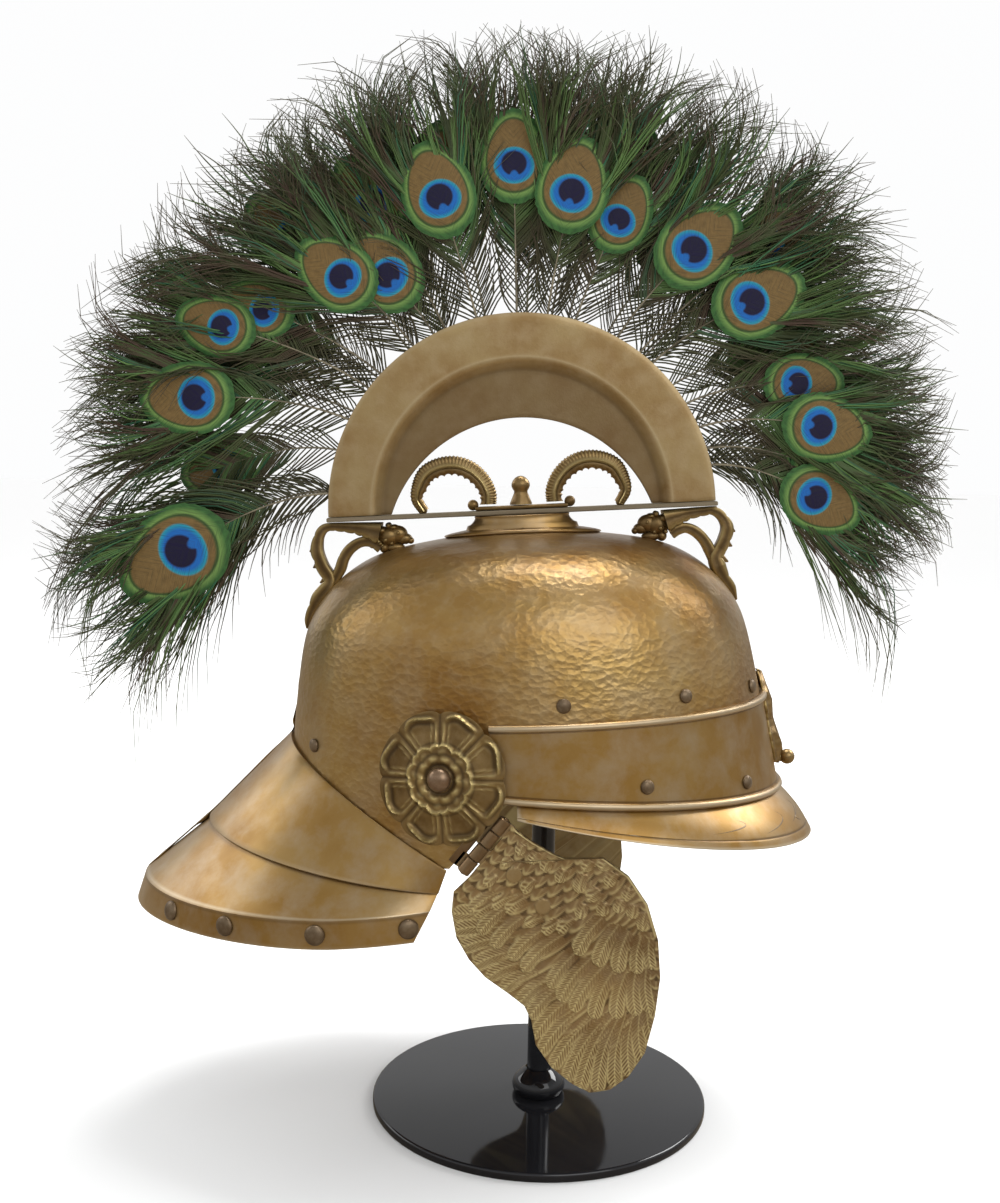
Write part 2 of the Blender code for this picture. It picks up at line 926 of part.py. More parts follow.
def make_bar():
    reach = crest_radius + bar_overhang
    low = (crest_shift - reach, -bar_width / 2, bar_top - bar_thickness)
    high = (crest_shift + reach, bar_width / 2, bar_top)
    mesh = box_mesh(low, high, "crest_bar")
    bar = add_object("crest_bar", mesh, dark_brass, helmet_parts, helmet)
    edge = bar.modifiers.new("edge", "BEVEL")
    edge.width = bar_thickness * 0.22
    edge.segments = 1


def oval(length, width, height, middle=crest_shift, count=24):
    """An oval ring about an upright axis, at a height that may follow the dome."""
    ring = []
    for step in range(count):
        angle = math.tau * step / count
        x = middle + length / 2 * math.cos(angle)
        y = width / 2 * math.sin(angle)
        ring.append(Vector((x, y, height(x, y))))
    return ring


def make_pedestal():
    """The cup between the dome and the bar, with a flange that follows the crown."""
    top = bar_top - bar_thickness - gap
    lip = flange_thickness

    def seat(lift):
        return lambda x, y: dome_top_at(x, y) + gap + lift

    def at(height):
        return lambda x, y: height

    sections = [
        oval(gap, gap, at(dome_height + gap), 0.0),
        oval(flange_length, flange_width, seat(0.0)),
        oval(flange_length, flange_width, seat(lip * 0.6)),
        oval(flange_length * 0.88, flange_width * 0.88, seat(lip * 1.5)),
        oval(pedestal_length * 1.20, pedestal_width * 1.16, seat(lip * 1.9)),
        oval(pedestal_length * 1.05, pedestal_width * 1.04, at(top - lip * 3.0)),
        oval(pedestal_length * 0.97, pedestal_width * 0.96, at(top - lip * 1.4)),
        oval(pedestal_length, pedestal_width, at(top)),
    ]
    mesh = solid_loft(sections, "crest_pedestal")
    add_object("crest_pedestal", mesh, smooth_brass, helmet_parts, helmet)


# Scroll spine as shares of its span and height, with the limb's radius as a share of its height.
scroll_path = (
    (-0.04, 0.10, 0.13),
    (0.02, 0.42, 0.13),
    (0.12, 0.68, 0.13),
    (0.28, 0.82, 0.13),
    (0.44, 0.84, 0.13),
    (0.64, 0.76, 0.13),
    (0.78, 0.56, 0.14),
    (0.82, 0.32, 0.15),
    (0.79, 0.12, 0.15),
)


def make_scrolls():
    """One casting on the bar: a plinth, a leaf scroll towards each end and a knob at each foot."""
    foot = bar_top + gap
    half = plinth_length / 2
    low = (crest_shift - half, -plinth_width / 2, foot)
    high = (crest_shift + half, plinth_width / 2, foot + plinth_thickness)
    plinth = box_mesh(low, high, "scroll_handles")
    casting = add_object("scroll_handles", plinth, cast_brass, helmet_parts, helmet)
    meshes = []
    for way in (-1, 1):
        points = []
        for along, up, _ in scroll_path:
            x = crest_shift + way * (scroll_start + scroll_span * along)
            points.append((x, 0, foot + scroll_height * up))
        radii = [scroll_height * thick for _, _, thick in scroll_path]
        meshes.append(tube_mesh(points, radii, f"scroll_{way}", sides=6, widen=1.3))
        place = (crest_shift + way * half, 0, foot + plinth_knob * 0.6)
        meshes.append(ball_mesh(place, plinth_knob, f"scroll_knob_{way}"))
    join(casting, meshes)


def make_finial():
    foot = bar_top + gap * 2 + plinth_thickness
    half = finial_diameter / 2
    finial = turned(
        "finial",
        (
            (0, foot + finial_height),
            (half * 0.45, foot + finial_height * 0.96),
            (half * 0.78, foot + finial_height * 0.80),
            (half * 0.74, foot + finial_height * 0.58),
            (half * 0.92, foot + finial_height * 0.30),
            (half, foot),
            (0, foot),
        ),
        12,
        cast_brass,
        helmet_parts,
        helmet,
    )
    finial.location.x = crest_shift


# A bracket's beam as shares of its size, in from the bar's end and down from the bar.
beam_outline = (
    (0.00, 0.00),
    (0.92, 0.00),
    (0.96, 0.09),
    (1.03, 0.20),
    (0.98, 0.27),
    (0.87, 0.30),
    (0.77, 0.335),
    (0.66, 0.33),
    (0.54, 0.28),
    (0.38, 0.20),
    (0.24, 0.11),
    (0.10, 0.085),
)
# Its two limbs the same way, each towards its foot, with the radius as a third share.
outer_limb = (
    (0.08, 0.05, 0.044),
    (-0.05, 0.125, 0.060),
    (-0.125, 0.26, 0.072),
    (-0.11, 0.42, 0.064),
    (-0.03, 0.57, 0.068),
)
arched_limb = (
    (0.58, 0.24, 0.060),
    (0.44, 0.20, 0.052),
    (0.30, 0.24, 0.048),
    (0.17, 0.34, 0.052),
    (0.10, 0.47, 0.056),
    (0.12, 0.60, 0.060),
)
# Height share of the dome at each step of a limb's foot down its side, with the radius share.
outer_foot = ((0.803, 0.054), (0.748, 0.048), (0.700, 0.040), (0.661, 0.018))
arched_foot = ((0.842, 0.032),)


def bracket_spot(way, across, down):
    x = crest_shift + way * (crest_radius + bar_overhang - bracket_length * across)
    return x, bar_top - bar_thickness - gap - bracket_length * down


def limb_mesh(way, limb, foot, name):
    """A bracket's limb, whose foot lies along the dome."""
    path = [(*bracket_spot(way, across, down), radius) for across, down, radius in limb]
    for height, radius in foot:
        seat = bracket_length * radius + gap * 2
        place = dome_profile_point(way, dome_height * height, seat)
        path.append((place.x, place.z, radius))
    points = [(x, 0, z) for x, z, _ in path]
    radii = [bracket_length * radius for _, _, radius in path]
    return tube_mesh(points, radii, name, sides=6, widen=1.2)


def make_brackets():
    """Each bracket: a beam with its beast head, a leafy outer limb and an arched inner one."""
    for word, way in (("front", 1), ("back", -1)):
        outline = [bracket_spot(way, across, down) for across, down in beam_outline]
        if way < 0:
            outline.reverse()
        beam = outline_mesh(outline, bracket_width, "bracket_beam_" + word, bracket_width * 0.18)
        bracket = add_object("crest_bracket_" + word, beam, cast_brass, helmet_parts, helmet)
        outer = limb_mesh(way, outer_limb, outer_foot, "bracket_outer_" + word)
        arch = limb_mesh(way, arched_limb, arched_foot, "bracket_arch_" + word)
        join(bracket, [outer, arch])


def rivet(name, place, normal, diameter):
    half = diameter / 2
    head = turned(
        name,
        (
            (0, rivet_height),
            (half * 0.60, rivet_height * 0.80),
            (half, rivet_height * 0.20),
            (half * 0.96, 0),
            (0, 0),
        ),
        8,
        dark_brass,
        helmet_parts,
        helmet,
    )
    turn = normal.to_track_quat("Z", "Y").to_matrix().to_4x4()
    head.matrix_local = Matrix.Translation(place + normal * gap) @ turn


# Each brow rivet's angle from the front, its roll, its lift above it as a share of its diameter,
# and what it stands on.
brow_rivets = (
    (82.5, upper_roll, 1.38, 0.0),
    (51.8, upper_roll, 1.41, 0.0),
    (21.2, upper_roll, 1.09, 0.0),
    (65.2, lower_roll, 1.31, gap + sheet),
    (34.9, lower_roll, 1.10, gap + sheet),
)
border_rivet_shares = (0.85, 0.70, 0.487, 0.285)


def make_rivets():
    for word, side in sides:
        for number, (degrees, plane, lift, out) in enumerate(brow_rivets, 1):
            angle = side * math.radians(degrees)
            place = dome_on_level(angle, plane, rivet_diameter * lift, out)
            normal = (level_normal(angle) + Vector((0, 0, 0.12))).normalized()
            rivet(f"brow_rivet_{word}_{number}", place, normal, rivet_diameter)
        for number, share in enumerate(border_rivet_shares, 1):
            x = -guard_reach * share
            low = Vector((x, side * guard_plan(edge_row, x), edge_level[0]))
            high = Vector((x, side * guard_plan(border_row, x), border_level[0]))
            ahead = x + guard_reach * 0.017
            near = Vector((ahead, side * guard_plan(edge_row, ahead), edge_level[0]))
            normal = (high - low).cross(near - low).normalized()
            if normal.y * side < 0:
                normal = -normal
            place = low.lerp(high, 0.52)
            rivet(f"guard_rivet_{word}_{number}", place, normal, border_rivet_diameter)
        angle = side * math.radians(150)
        place = dome_on_level(angle, guard_top, rivet_diameter * 1.54)
        rivet(f"dome_rivet_{word}", place, level_normal(angle), rivet_diameter)


def knuckle_mesh(low, high, name):
    """A tube about the hinge axis between two places along it, in the hinge's own frame."""
    bore = pin_radius + pin_clearance
    shape = bmesh.new()
    count = 10
    rings = []
    for along, radius in ((low, bore), (low, hinge_radius), (high, hinge_radius), (high, bore)):
        ring = []
        for step in range(count):
            angle = math.tau * step / count
            ring.append(
                shape.verts.new((along, radius * math.cos(angle), radius * math.sin(angle)))
            )
        rings.append(ring)
    for first, second in zip(rings, rings[1:] + rings[:1]):
        for a in range(count):
            b = (a + 1) % count
            shape.faces.new((first[a], first[b], second[b], second[a]))
    return mesh_from(shape, name)


def knuckle_span(index):
    pitch = hinge_length / knuckle_count
    low = -hinge_length / 2 + pitch * index
    return low + knuckle_gap / 2, low + pitch - knuckle_gap / 2


def hinge_empty(word, side):
    """An empty on the hinge's axis, its X along the axis and its Z away from the wing."""
    empty = bpy.data.objects.new("hinge_axis_" + word, None)
    helmet_parts.objects.link(empty)
    empty.parent = helmet
    empty.location = (-hinge_back, side * (dome_width / 2 + hinge_out), -hinge_drop)
    empty.rotation_euler = (0, -hinge_rise, 0)
    return empty


# The wing's outline clockwise from beside the hinge's upper end, as shares of its width from its
# rear edge and of its height from its top.
wing_outline = (
    (0.41, 0.055),
    (0.52, 0.110),
    (0.61, 0.121),
    (0.74, 0.121),
    (0.86, 0.195),
    (0.945, 0.302),
    (0.989, 0.435),
    (0.993, 0.576),
    (0.961, 0.719),
    (0.905, 0.858),
    (0.820, 0.946),
    (0.730, 0.990),
    (0.630, 0.998),
    (0.541, 0.960),
    (0.447, 0.896),
    (0.378, 0.810),
    (0.360, 0.715),
    (0.330, 0.660),
    (0.259, 0.613),
    (0.147, 0.546),
    (0.073, 0.477),
    (0.017, 0.393),
    (0.000, 0.294),
    (0.014, 0.225),
)
# Lower edge of each raised tier of feathers, from the rear edge forward: tips and notches between.
wing_tiers = (
    (
        (0.03, 0.38),
        (0.20, 0.50),
        (0.26, 0.48),
        (0.31, 0.54),
        (0.38, 0.52),
        (0.42, 0.60),
        (0.50, 0.56),
        (0.58, 0.66),
        (0.65, 0.62),
        (0.74, 0.72),
        (0.80, 0.66),
        (0.88, 0.73),
        (0.96, 0.66),
    ),
    (
        (0.04, 0.30),
        (0.16, 0.38),
        (0.24, 0.36),
        (0.33, 0.44),
        (0.44, 0.42),
        (0.54, 0.48),
        (0.60, 0.44),
        (0.70, 0.52),
        (0.78, 0.48),
        (0.88, 0.56),
        (0.95, 0.50),
    ),
)


def wing_spot(across, down):
    """A point of the wing in the hinge's frame, as (along the axis, up from it)."""
    x = wing_left + wing_width * across + hinge_back
    z = wing_top - wing_height * down + hinge_drop
    along = x * math.cos(hinge_rise) + z * math.sin(hinge_rise)
    up = -x * math.sin(hinge_rise) + z * math.cos(hinge_rise)
    return along, up


def wing_meshes(side):
    """The wing plate and its raised tiers, flat in the hinge frame's XZ plane."""
    edge = hinge_radius + leaf_clearance
    near = [(-hinge_length / 2, -edge), (hinge_length * 0.47, -edge)]
    outline = near + [wing_spot(*share) for share in wing_outline]
    plate = outline_mesh(outline, wing_sheet, "wing_plate")
    tiers = []
    inset = 0.985
    for number, lower_edge in enumerate(wing_tiers):
        last = lower_edge[-1]
        rear = [share for share in wing_outline if share[1] < lower_edge[0][1] and share[0] < 0.2]
        fore = [share for share in wing_outline if share[1] < last[1] and share[0] > 0.35]
        loop = [*fore, *reversed(lower_edge), *rear]
        points = near + [wing_spot(*share) for share in loop]
        centre = Vector((sum(p[0] for p in points), sum(p[1] for p in points))) / len(points)
        points = [tuple(centre + (Vector(p) - centre) * (inset - 0.01 * number)) for p in points]
        raised = wing_relief * (number + 1)
        name = f"wing_tier_{number}"
        tiers.append(outline_mesh(points, wing_sheet, name, 0.0, side * raised))
    return plate, tiers


def make_hinges():
    for word, side in sides:
        axis = hinge_empty(word, side)
        leaf_low = -side * (hinge_radius - sheet / 2) - sheet / 2
        leaf_high = leaf_low + sheet
        top = hinge_radius + leaf_clearance + leaf_height
        leaf = box_mesh(
            (-hinge_length / 2, leaf_low, hinge_radius + leaf_clearance),
            (knuckle_span(2)[1], leaf_high, top),
            "hinge_leaf",
        )
        obj = add_object("hinge_leaf_" + word, leaf, dark_brass, helmet_parts, axis)
        meshes = []
        wing_parts = []
        for index in range(knuckle_count):
            low, high = knuckle_span(index)
            knuckle = knuckle_mesh(low, high, f"knuckle_{word}_{index}")
            if index % 2:
                root = box_mesh(
                    (low, -wing_sheet * 0.35, -hinge_radius - leaf_clearance - root_lap),
                    (high, wing_sheet * 0.35, -pin_radius - pin_clearance * 3),
                    f"wing_root_{word}_{index}",
                )
                wing_parts += [knuckle, root]
                continue
            root = box_mesh(
                (low, leaf_low, gap),
                (high, leaf_high, hinge_radius + leaf_clearance + root_lap),
                f"leaf_root_{word}_{index}",
            )
            meshes += [knuckle, root]
        join(obj, meshes)
        plate, tiers = wing_meshes(side)
        wing = add_object("cheek_wing_" + word, plate, cast_brass, helmet_parts, axis)
        join(wing, tiers + wing_parts)
        length = hinge_length + pin_proud * 2
        rod = rod_mesh(pin_radius, length, 10, Matrix.Rotation(math.pi / 2, 4, "Y"), "hinge_pin")
        add_object("hinge_pin_" + word, rod, dark_brass, helmet_parts, axis)


def plume_angle(share):
    """Direction of the plume at this share of its way from front to back: root and tip, radians."""
    root = plume_roots[0] + (plume_roots[1] - plume_roots[0]) * share
    tip = plume_tips[0] + (plume_tips[1] - plume_tips[0]) * share
    return root, tip


def plume_point(share, along):
    """A point between the crest's rim (0) and the plume's outer edge (1), as (x, z)."""
    root, tip = plume_angle(share)
    angle = root + (tip - root) * along**0.8
    reach = plume_reach * smooth_table(plume_outline, math.degrees(tip))
    start = crest_radius - quill_depth
    radius = start + (reach - start) * along
    return Vector((radius * math.cos(angle), radius * math.sin(angle)))


# Share of a feather's length, with its width share and thickness share there.
feather_stations = (
    (0.00, 0.12, 0.30),
    (0.13, 0.16, 0.32),
    (0.27, 0.70, 0.70),
    (0.64, 1.00, 1.00),
    (0.86, 0.72, 0.70),
    (1.00, 0.06, 0.15),
)


def feather_mesh(section, number, name):
    """One feather as a leaf with a ridge down each face, inside its section of the plume."""
    per_feather = 1 / (plume_sections * feathers_per_section)
    index = section * feathers_per_section + number
    middle = (index + 0.5) * per_feather
    reach = 1.0 if number % 2 else feather_short
    inside = feather_overlap / 2
    edge = feather_edge / 2
    front = edge if number == 0 else inside
    back = edge if number == feathers_per_section - 1 else inside
    stagger = feather_stagger * (1 if number % 2 else -1)
    sections = []
    for along, width, thick in feather_stations:
        centre = plume_point(middle, along * reach)
        fore = plume_point(middle - per_feather * front * width, along * reach)
        aft = plume_point(middle + per_feather * back * width, along * reach)
        half = feather_thickness / 2 * thick
        y = stagger * min(along * 3, 1.0)
        sections.append(
            [
                Vector((fore.x, y, fore.y)),
                Vector((centre.x, y - half, centre.y)),
                Vector((aft.x, y, aft.y)),
                Vector((centre.x, y + half, centre.y)),
            ]
        )
    return solid_loft(sections, name)


def rail_mesh(section, name):
    """The strip in the crest's channel that holds one section's quills."""
    outer = crest_radius - rail_sink
    inner = outer - rail_height
    steps = 5
    trim = gap / outer
    sweep = math.pi - 2 * rail_end
    start = rail_end + sweep * section / plume_sections + trim
    end = rail_end + sweep * (section + 1) / plume_sections - trim
    half = rail_depth / 2
    sections = []
    for step in range(steps + 1):
        angle = start + (end - start) * step / steps
        ray = Vector((math.cos(angle), 0, math.sin(angle)))
        side = Vector((0, half, 0))
        sections.append(
            [ray * inner - side, ray * inner + side, ray * outer + side, ray * outer - side]
        )
    return solid_loft(sections, name)


def make_plume():
    for section in range(plume_sections):
        name = f"plume_{section + 1}"
        rail = add_object(name, rail_mesh(section, name), feather_green, helmet_parts, crest)
        feathers = [
            feather_mesh(section, number, f"{name}_feather_{number}")
            for number in range(feathers_per_section)
        ]
        join(rail, feathers)


clear_scene()
helmet_parts = make_collection("centurion_helmet")
cutters = make_collection("cutters")
sides = (("right", -1), ("left", 1))

hammered_brass = make_material("hammered_brass", (0.42, 0.26, 0.10), 1.0, 0.34)
smooth_brass = make_material("smooth_brass", (0.46, 0.33, 0.16), 1.0, 0.36)
cast_brass = make_material("cast_brass", (0.38, 0.27, 0.12), 1.0, 0.40)
dark_brass = make_material("dark_brass", (0.24, 0.17, 0.10), 1.0, 0.42)
black_enamel = make_material("black_enamel", (0.010, 0.010, 0.012), 0.0, 0.08)
feather_green = make_material("feather_green", (0.05, 0.13, 0.05), 0.0, 0.60)

helmet = bpy.data.objects.new("helmet_frame", None)
helmet_parts.objects.link(helmet)
helmet.location = (-crown_setback, 0, rim_height)
helmet.rotation_euler = (0, -lean, 0)
crest = bpy.data.objects.new("crest_frame", None)
helmet_parts.objects.link(crest)
crest.parent = helmet
crest.location = crest_centre()

make_stand()
make_dome()
make_band()
make_visor()
make_guard()
make_spine()
make_emblem()
make_rosettes()
make_crest_plates()
make_bar()
make_pedestal()
make_scrolls()
make_finial()
make_brackets()
make_rivets()
make_hinges()
make_plume()
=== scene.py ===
import math
import bmesh
import bpy
import numpy as np
from mathutils import Matrix, Vector


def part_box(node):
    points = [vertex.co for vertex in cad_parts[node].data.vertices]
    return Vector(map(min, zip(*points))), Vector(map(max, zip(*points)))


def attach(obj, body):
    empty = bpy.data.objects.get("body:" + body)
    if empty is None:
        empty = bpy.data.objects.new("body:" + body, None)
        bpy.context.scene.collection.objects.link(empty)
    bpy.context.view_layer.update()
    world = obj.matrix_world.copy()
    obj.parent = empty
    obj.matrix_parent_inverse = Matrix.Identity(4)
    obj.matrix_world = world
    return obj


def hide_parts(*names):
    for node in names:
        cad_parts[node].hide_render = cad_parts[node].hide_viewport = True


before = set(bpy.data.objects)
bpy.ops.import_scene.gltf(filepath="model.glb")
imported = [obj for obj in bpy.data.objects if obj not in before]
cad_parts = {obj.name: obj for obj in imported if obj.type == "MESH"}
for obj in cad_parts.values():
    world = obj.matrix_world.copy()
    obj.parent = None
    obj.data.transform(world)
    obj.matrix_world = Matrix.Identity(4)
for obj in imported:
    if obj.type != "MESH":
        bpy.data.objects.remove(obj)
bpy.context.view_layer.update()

print("frame loaded")

# Metres. The helmet leans back on its stand: its own frame has its origin on the dome's axis at rim height.
stand = {
    "rimHeight": 0.1902, "setback": 0.008, "lean": math.radians(3.5),
    "base": 0.100, "thick": 0.005, "edge": 0.0016, "pole": 0.007,
    # radius, height over the base
    "collar": ((0.0073, 0.0140), (0.0080, 0.0142), (0.0098, 0.0130), (0.0118, 0.0112), (0.0140, 0.0092),
               (0.0154, 0.0070), (0.0160, 0.0046), (0.0157, 0.0022), (0.0146, 0.0), (0.0073, 0.0),
               (0.0073, 0.0140)),
}
helmetPlace = Matrix.Translation((-stand["setback"], 0, stand["rimHeight"]))
helmetPlace = helmetPlace @ Matrix.Rotation(-stand["lean"], 4, "Y")
sides = (("right", -1), ("left", 1))
gap = 0.0003
sheet = 0.0011

dome = {
    "length": 0.288,
    "width": 0.220,
    "height": 0.1544,
    "wall": 0.0015,
    "steps": 192,
    "hingeRoom": 0.0021,
    "underGuard": 0.012,
    # height share, radius share
    "rings": (
        (-0.16, 1.021), (0.0, 1.0), (0.19, 0.967), (0.38, 0.941), (0.60, 0.899), (0.715, 0.854),
        (0.81, 0.778), (0.885, 0.681), (0.94, 0.556), (0.973, 0.382), (0.993, 0.19), (1.0, 0.0),
    ),
}


# Shapes

def clamp(value):
    return np.clip(value, 0, 1)


def near(value, width, middle=0.0):
    # a soft bump: 1 at the middle, about a third one width away
    return np.exp(-((value - middle) / width) ** 2)


def xyz(*parts):
    return np.stack(parts, -1)


def unit(rows):
    return rows / np.maximum(np.linalg.norm(rows, axis=-1, keepdims=True), 1e-9)


def follow(spots, marks, rows):
    # the rows' values at spots between their marks
    return np.stack([np.interp(spots, marks, rows[:, k]) for k in (0, 1, 2)], -1)


def smoothPath(points, count):
    # a smooth curve through the points, count samples
    rows = np.array(points, float)
    last = len(rows) - 1
    spot = np.linspace(0, last, count)
    index = np.clip(spot.astype(int), 0, last - 1)
    t = (spot - index)[:, None]
    rows = np.vstack([2 * rows[0] - rows[1], rows, 2 * rows[-1] - rows[-2]])
    a, b, c, d = rows[index], rows[index + 1], rows[index + 2], rows[index + 3]
    return 0.5 * (2 * b + (c - a) * t + (2 * a - 5 * b + 4 * c - d) * t**2 + (3 * b - 3 * c + d - a) * t**3)


def formedGrid(uSteps, vSteps, form, merge=True):
    # a flat grid laid out by form(u, v), both from 0 to 1; form may add masks of ridges and hollows, for
    # painted highlights and painted shade
    bm = bmesh.new()
    bm.loops.layers.uv.new("UVMap")
    bmesh.ops.create_grid(bm, x_segments=uSteps, y_segments=vSteps, size=0.5, calc_uvs=True)
    flat = np.array([vert.co[:] for vert in bm.verts]) + 0.5
    made = form(flat[:, 0], flat[:, 1])
    places, ridges, hollows = made if isinstance(made, tuple) else (made, 0 * flat[:, 0], 0 * flat[:, 0])
    relief = bm.verts.layers.float_vector.new("relief")
    for vert, place, ridge, hollow in zip(bm.verts, places, ridges, hollows):
        vert.co = place
        vert[relief] = (ridge, hollow, 0)
    if merge:
        bmesh.ops.remove_doubles(bm, verts=bm.verts, dist=1e-6)
    return bm


def closeEnds(bm):
    edges = [edge for edge in bm.edges if edge.is_boundary]
    bmesh.ops.holes_fill(bm, edges=edges, sides=0)
    return bm


def lathe(profile, steps):
    # a profile of (radius, height) turned about Z
    bm = bmesh.new()
    verts = [bm.verts.new((radius, 0, height)) for radius, height in profile]
    for first, second in zip(verts, verts[1:]):
        bm.edges.new((first, second))
    bmesh.ops.spin(bm, geom=bm.verts[:] + bm.edges[:], cent=(0, 0, 0), axis=(0, 0, 1), angle=math.tau,
                   steps=steps, use_merge=True)
    bmesh.ops.remove_doubles(bm, verts=bm.verts, dist=1e-6)
    return bm


def roundBox(low, high, bevel, segments=2):
    bm = bmesh.new()
    bmesh.ops.create_cube(bm, size=1.0)
    bmesh.ops.scale(bm, verts=bm.verts, vec=[b - a for a, b in zip(low, high)])
    bmesh.ops.translate(bm, verts=bm.verts, vec=[(a + b) / 2 for a, b in zip(low, high)])
    bmesh.ops.bevel(bm, geom=bm.edges[:], offset=bevel, offset_type="OFFSET", segments=segments,
                    profile=0.5, affect="EDGES", material=-1)
    return bm


def ball(place, radius, steps=24):
    bm = bmesh.new()
    bmesh.ops.create_uvsphere(bm, u_segments=steps, v_segments=steps // 2 + 2, radius=radius)
    bmesh.ops.translate(bm, verts=bm.verts, vec=place)
    return bm


def sweep(points, steps, around, section):
    # a bar along a path in the middle plane
    # section(u, turn) gives its reach in the plane and sideways, and may add masks
    path = smoothPath([(x, 0, z) for x, z in points], steps + 1)
    along = unit(np.gradient(path, axis=0))
    share = np.linspace(0, 1, steps + 1)

    def form(u, v):
        ahead = follow(u, share, along)
        reach, aside, *masks = section(u, v * math.tau)
        place = follow(u, share, path) + xyz(-ahead[:, 2] * reach, aside, ahead[:, 0] * reach)
        return (place, *masks) if masks else place

    return closeEnds(formedGrid(steps, around, form))


def merged(shapes):
    # one bmesh from several
    whole = bmesh.new()
    whole.loops.layers.uv.new("UVMap")
    whole.verts.layers.float_vector.new("relief")
    for shape in shapes:
        part = bpy.data.meshes.new("part")
        shape.to_mesh(part)
        shape.free()
        whole.from_mesh(part)
        bpy.data.meshes.remove(part)
    return whole


def placePiece(name, mesh, material, nodes, body="helmet"):
    mesh.materials.clear()
    mesh.materials.append(material)
    piece = bpy.data.objects.new(name, mesh)
    bpy.context.scene.collection.objects.link(piece)
    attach(piece, body)
    if nodes:
        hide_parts(*nodes)
    return piece


def addPiece(name, bm, material, nodes, body="helmet", closed=True, inside=(0, 0, 0), sharp=40,
             frameOf=None):
    # frameOf is the frame that the shape was drawn in; the finished piece is in world coordinates
    bmesh.ops.transform(bm, matrix=helmetPlace if frameOf is None else frameOf, verts=bm.verts)
    bmesh.ops.recalc_face_normals(bm, faces=bm.faces)
    if not closed:
        # an open sheet faces away from its inside
        centre = helmetPlace @ Vector(inside)
        if sum(face.normal.dot(face.calc_center_median() - centre) * face.calc_area()
               for face in bm.faces) < 0:
            bmesh.ops.reverse_faces(bm, faces=bm.faces)
    mesh = bpy.data.meshes.new(name)
    bm.to_mesh(mesh)
    bm.free()
    mesh.shade_smooth()
    mesh.set_sharp_from_angle(angle=math.radians(sharp))
    return placePiece(name, mesh, material, nodes, body)


def wall(piece, thickness, bevel=0.0):
    shell = piece.modifiers.new("wall", "SOLIDIFY")
    shell.thickness = thickness
    shell.offset = -1
    shell.use_even_offset = True
    if bevel:
        edge = piece.modifiers.new("edge", "BEVEL")
        edge.width = bevel
        edge.segments = 2
        edge.limit_method = "ANGLE"
        edge.angle_limit = math.radians(60)
    return piece


# The dome's own form, which the sheets round it follow

domeCurve = smoothPath(dome["rings"], 240)


def domeShare(z):
    return np.interp(z / dome["height"], domeCurve[:, 0], domeCurve[:, 1])


def domePoint(angle, z, out=0.0):
    share = domeShare(z)
    normalX = np.cos(angle) / dome["length"]
    normalY = np.sin(angle) / dome["width"]
    size = np.hypot(normalX, normalY)
    x = dome["length"] / 2 * share * np.cos(angle) + normalX / size * out
    y = dome["width"] / 2 * share * np.sin(angle) + normalY / size * out
    return np.stack(np.broadcast_arrays(x, y, z), -1)


def domeOnLevel(angle, height, fall, lift=0.0, out=0.0):
    z = height + lift + 0 * angle
    for _ in range(6):
        z = height + lift - fall * domePoint(angle, z)[..., 0]
    return domePoint(angle, z, out)


def domeTop(x, y):
    share = np.hypot(2 * x / dome["length"], 2 * y / dome["width"])
    return dome["height"] * np.interp(share, domeCurve[::-1, 1], domeCurve[::-1, 0])


# Materials

def addNode(tree, kind, inputs=None, **settings):
    node = tree.nodes.new("ShaderNode" + kind)
    for key, value in settings.items():
        setattr(node, key, value)
    for key, value in (inputs or {}).items():
        if isinstance(value, bpy.types.NodeSocket):
            tree.links.new(value, node.inputs[key])
        else:
            node.inputs[key].default_value = value
    return node


def maths(tree, operation, *values, clamped=False):
    return addNode(tree, "Math", dict(enumerate(values)), operation=operation, use_clamp=clamped).outputs[0]


def vectors(tree, operation, *values):
    return addNode(tree, "VectorMath", dict(enumerate(values)), operation=operation).outputs


def scaled(tree, value, factor, offset=0.0):
    return maths(tree, "MULTIPLY_ADD", value, factor, offset)


def ranged(tree, value, low, high):
    # 0 at low, 1 at high and between them in between
    return addNode(tree, "MapRange", {"Value": value, "From Min": low, "From Max": high}).outputs["Result"]


def noise(tree, place, scale, detail, rough=0.5, twist=0.0):
    return addNode(tree, "TexNoise", {"Vector": place, "Scale": scale, "Detail": detail, "Roughness": rough,
                                      "Distortion": twist}).outputs


def objectPlace(tree):
    return addNode(tree, "TexCoord").outputs["Object"]


def ownValues(tree, name):
    # a vector that the mesh carries, as its three parts
    carried = addNode(tree, "Attribute", attribute_name=name).outputs["Vector"]
    return carried, addNode(tree, "SeparateXYZ", {0: carried}).outputs


def addGroup(tree, group, **values):
    node = tree.nodes.new("ShaderNodeGroup")
    node.node_tree = group
    for key, value in values.items():
        node.inputs[key].default_value = value
    return node.outputs


def colourMix(tree, factor, first, second):
    # a colour between two, each a triple or a socket
    mix = tree.nodes.new("ShaderNodeMix")
    mix.data_type = "RGBA"
    for key, value in ((0, factor), (6, first), (7, second)):
        if isinstance(value, bpy.types.NodeSocket):
            tree.links.new(value, mix.inputs[key])
        elif isinstance(value, tuple):
            mix.inputs[key].default_value = (*value, 1.0)
        else:
            mix.inputs[key].default_value = value
    return mix.outputs[2]


def newGroup(name, inputs, outputs):
    tree = bpy.data.node_groups.new(name, "ShaderNodeTree")
    for key, value in inputs.items():
        tree.interface.new_socket(key, in_out="INPUT", socket_type="NodeSocketFloat").default_value = value
    for key in outputs:
        tree.interface.new_socket(key, in_out="OUTPUT", socket_type="NodeSocketFloat")
    return tree, tree.nodes.new("NodeGroupInput").outputs, tree.nodes.new("NodeGroupOutput").inputs


